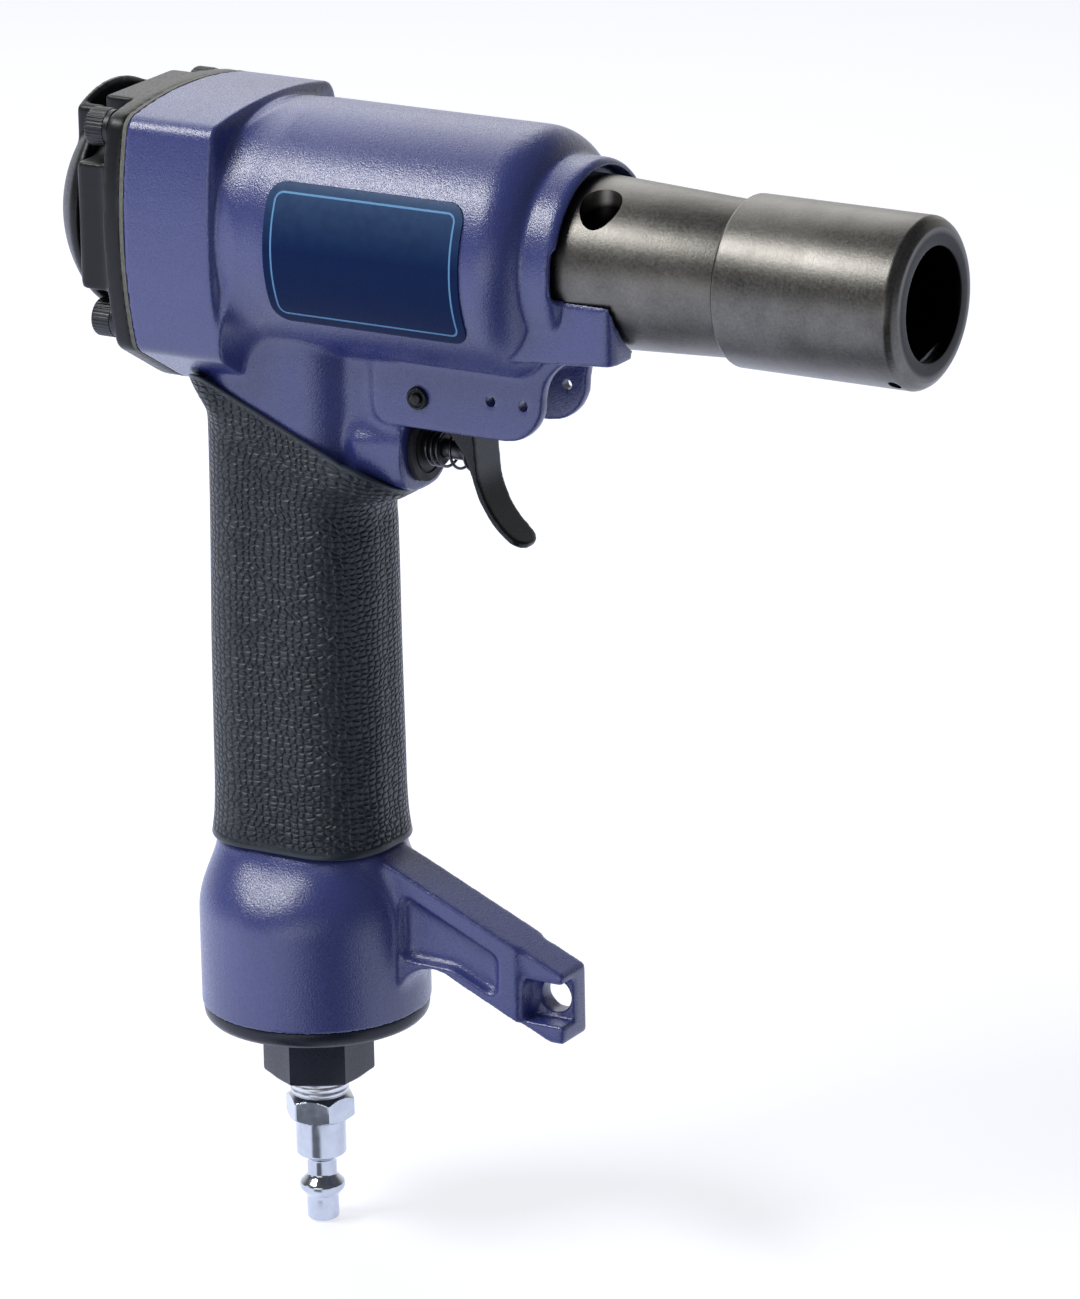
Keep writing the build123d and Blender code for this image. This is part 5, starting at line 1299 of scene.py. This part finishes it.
class HAMMER_OT_studio(bpy.types.Operator):
    """Sets the pale floor, the softboxes, the room light and the camera"""

    bl_idname = "hammer.studio"
    bl_label = "Studio"

    def execute(self, context):
        scene = context.scene
        studio = scene.hammer_studio
        sine, cosine = math.sin(studio.azimuth), math.cos(studio.azimuth)
        rise, level = math.sin(studio.elevation), math.cos(studio.elevation)
        back = Vector((sine * level, -cosine * level, rise))
        right, up = Vector((cosine, sine, 0.0)), Vector((-sine * rise, cosine * rise, level))
        lean, upright = math.sin(studio.roll), math.cos(studio.roll)
        right, up = right * upright + up * lean, up * upright - right * lean
        floor_gap = 0.0002
        self.floor(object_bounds()[0].z - floor_gap, Vector((sine, -cosine, 0.0)))
        camera = bpy.data.cameras.new("camera")
        camera.lens, camera.sensor_width = studio.lens, 36.0
        camera.clip_start, camera.clip_end = 0.05, 30.0
        eye = link("camera", camera)
        target = Vector((HANDLE_X * MM + 0.0616, 0.0, -0.0921))
        turn = Matrix((right, up, back)).transposed().to_4x4()
        eye.matrix_world = Matrix.Translation(target + back * studio.distance) @ turn
        scene.camera = eye
        middle = Vector((HANDLE_X * MM + 0.07, 0.0, -0.06))
        # Rows: name, direction, distance, width, depth, power
        for name, way, distance, width, depth, watts in (
            ("key_light", (-0.485, -0.464, 0.741), 1.5, 0.80, 0.34, studio.key),
            ("top_light", (-0.56, 0.50, 0.66), 1.3, 1.2, 0.9, studio.top),
            ("fill_light", (0.10, -0.99, 0.03), 1.3, 1.00, 0.30, studio.fill),
            ("side_light", (-0.80, -0.60, 0.02), 1.2, 0.50, 0.40, studio.side),
        ):
            softbox(name, Vector(way) * distance, middle, width, depth, watts)
        self.room(scene, studio.world, -back)
        scene.view_settings.view_transform = "Standard"
        return {"FINISHED"}

    def floor(self, height, front):
        """Wide pale floor that glows where it is seen, and shows painted shade, dark, in reflections within
        two sectors ahead of the handle.
        """
        reach = np.linspace(-6000.0, 6000.0, 13)
        x, y = np.meshgrid(reach, reach, indexing="ij")
        points = np.stack([x, y, np.full_like(x, height / MM)], axis=-1)
        floor = link("floor", grid_mesh("floor", points, closed=False))
        pale, painted_reflection_shade = (0.50, 0.53, 0.66), (0.05, 0.052, 0.065)
        paper = Finish("paper", pale, roughness=0.9, Specular_IOR_Level=0.0)
        paper.rough(paper.ramp(paper.noise(paper.place(), 12.0, detail=2.0), 0.85, 0.95))
        rays = paper.node("ShaderNodeLightPath").outputs
        glossy = rays["Is Glossy Ray"]
        # Painted shade in reflections: for glossy rays the floor turns dark inside the sectors
        dim = paper.math("MULTIPLY", self.flags(paper, front), glossy)
        paper.base(paper.blend(dim, pale, painted_reflection_shade))
        seen = paper.math("MAXIMUM", rays["Is Camera Ray"], glossy)
        seen = paper.math("MAXIMUM", seen, rays["Is Transmission Ray"])
        # Painted reflection: for glossy rays the floor glows brighter, 0.95 against 0.66 for the camera, and
        # dimmer in the shaded sectors
        glow = paper.math("MULTIPLY", paper.ramp(glossy, 0.66, 0.95), paper.ramp(dim, 1.0, 0.06))
        glow = paper.math("MULTIPLY", glow, seen)
        # Painted reflection: warm white where the camera sees the floor, bluish in reflections
        backdrop_and_reflection_tint = paper.blend(glossy, (0.98, 0.97, 0.92), (0.82, 0.86, 1.0))
        paper.feed(paper.shader, Emission_Strength=glow, Emission_Color=backdrop_and_reflection_tint)
        floor.data.materials.append(paper.material)
        floor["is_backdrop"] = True

    def flags(self, paper, front):
        """1 in two sectors of the floor ahead of the handle, where reflections get painted shade: a wide one,
        and a slim one that narrows and turns on its way. A place's slope is its distance aside for each metre
        ahead."""
        place = paper.place(move=(-HANDLE_X * MM, 0.0, 0.0))
        ahead, aside = paper.dot(place, front), paper.dot(place, Vector((-front.y, front.x, 0.0)))
        slope = paper.math("DIVIDE", aside, paper.math("MAXIMUM", ahead, 0.001))
        off = paper.math("ABSOLUTE", paper.math("SUBTRACT", slope, 0.3))
        begun = paper.ramp(ahead, 0.0, 1.0, 0.06, 0.10)
        wide = paper.math("MULTIPLY", paper.ramp(off, 1.0, 0.0, 0.4, 0.75), begun)
        centre, width = paper.ramp(ahead, -0.45, -0.65, 0.06, 0.08), paper.ramp(ahead, 1.9, 1.0, 0.06, 0.08)
        off = paper.math("ABSOLUTE", paper.math("DIVIDE", paper.math("SUBTRACT", slope, centre), width))
        begun, ended = paper.ramp(ahead, 0.0, 1.0, 0.01, 0.02), paper.ramp(ahead, 1.0, 0.0, 0.11, 0.125)
        slim = paper.math("MULTIPLY", paper.ramp(off, 0.9, 0.0, 0.15, 0.27), begun)
        return paper.math("MAXIMUM", wide, paper.math("MULTIPLY", slim, ended))

    def room(self, scene, strength, ahead):
        """Room light: pale in the direction the camera looks, dim behind it and overhead."""
        world = bpy.data.worlds.new("room")
        world.use_nodes = True
        sky = Nodes(world.node_tree)
        way = sky.node("ShaderNodeTexCoord").outputs["Generated"]
        facing = sky.dot(way, Vector((ahead.x, ahead.y, 0.0)).normalized())
        parts = sky.feed(sky.node("ShaderNodeSeparateXYZ"), i0=way)
        spread = sky.ramp(facing, 0.0, 1.0, 0.15, 0.95, "SMOOTHSTEP")
        level = sky.ramp(parts.outputs["Z"], 0.0, 1.0, 0.62, 0.34, "SMOOTHSTEP")
        tone = sky.blend(sky.math("MULTIPLY", spread, level), (0.12, 0.125, 0.14), (1.05, 1.05, 1.03))
        sky.feed(sky.tree.nodes["Background"], Color=tone, Strength=strength)
        scene.world = world


class HAMMER_PT_panel(bpy.types.Panel):
    """Lists the hammer's pieces and the studio"""

    bl_label = "Stamping hammer"
    bl_idname = "HAMMER_PT_panel"
    bl_space_type = "VIEW_3D"
    bl_region_type = "UI"
    bl_category = "Hammer"

    def draw(self, context):
        for operator in PIECES:
            self.layout.operator(operator.bl_idname)
        for group in (context.scene.hammer_finish, context.scene.hammer_sizes, context.scene.hammer_studio):
            box = self.layout.box()
            for key in group.__annotations__:
                box.prop(group, key)


PIECES = (
    HAMMER_OT_casting,
    HAMMER_OT_grip,
    HAMMER_OT_rear,
    HAMMER_OT_nose,
    HAMMER_OT_trigger,
    HAMMER_OT_inlet,
    HAMMER_OT_inside,
    HAMMER_OT_studio,
)
CLASSES = (HammerFinish, HammerSizes, HammerStudio, *PIECES, HAMMER_PT_panel)


def register():
    """Registers the classes and hangs their settings on the scene."""
    for item in CLASSES:
        bpy.utils.register_class(item)
    bpy.types.Scene.hammer_finish = bpy.props.PointerProperty(type=HammerFinish)
    bpy.types.Scene.hammer_sizes = bpy.props.PointerProperty(type=HammerSizes)
    bpy.types.Scene.hammer_studio = bpy.props.PointerProperty(type=HammerStudio)


def unregister():
    """Takes the settings and classes away again."""
    del bpy.types.Scene.hammer_finish
    del bpy.types.Scene.hammer_sizes
    del bpy.types.Scene.hammer_studio
    for item in reversed(CLASSES):
        bpy.utils.unregister_class(item)


def main():
    """Builds every piece and the studio."""
    register()
    bpy.ops.hammer.casting()
    bpy.ops.hammer.grip()
    bpy.ops.hammer.rear()
    bpy.ops.hammer.nose()
    bpy.ops.hammer.trigger()
    bpy.ops.hammer.inlet()
    bpy.ops.hammer.inside()
    bpy.ops.hammer.studio()


if __name__ == "__main__":
    main()
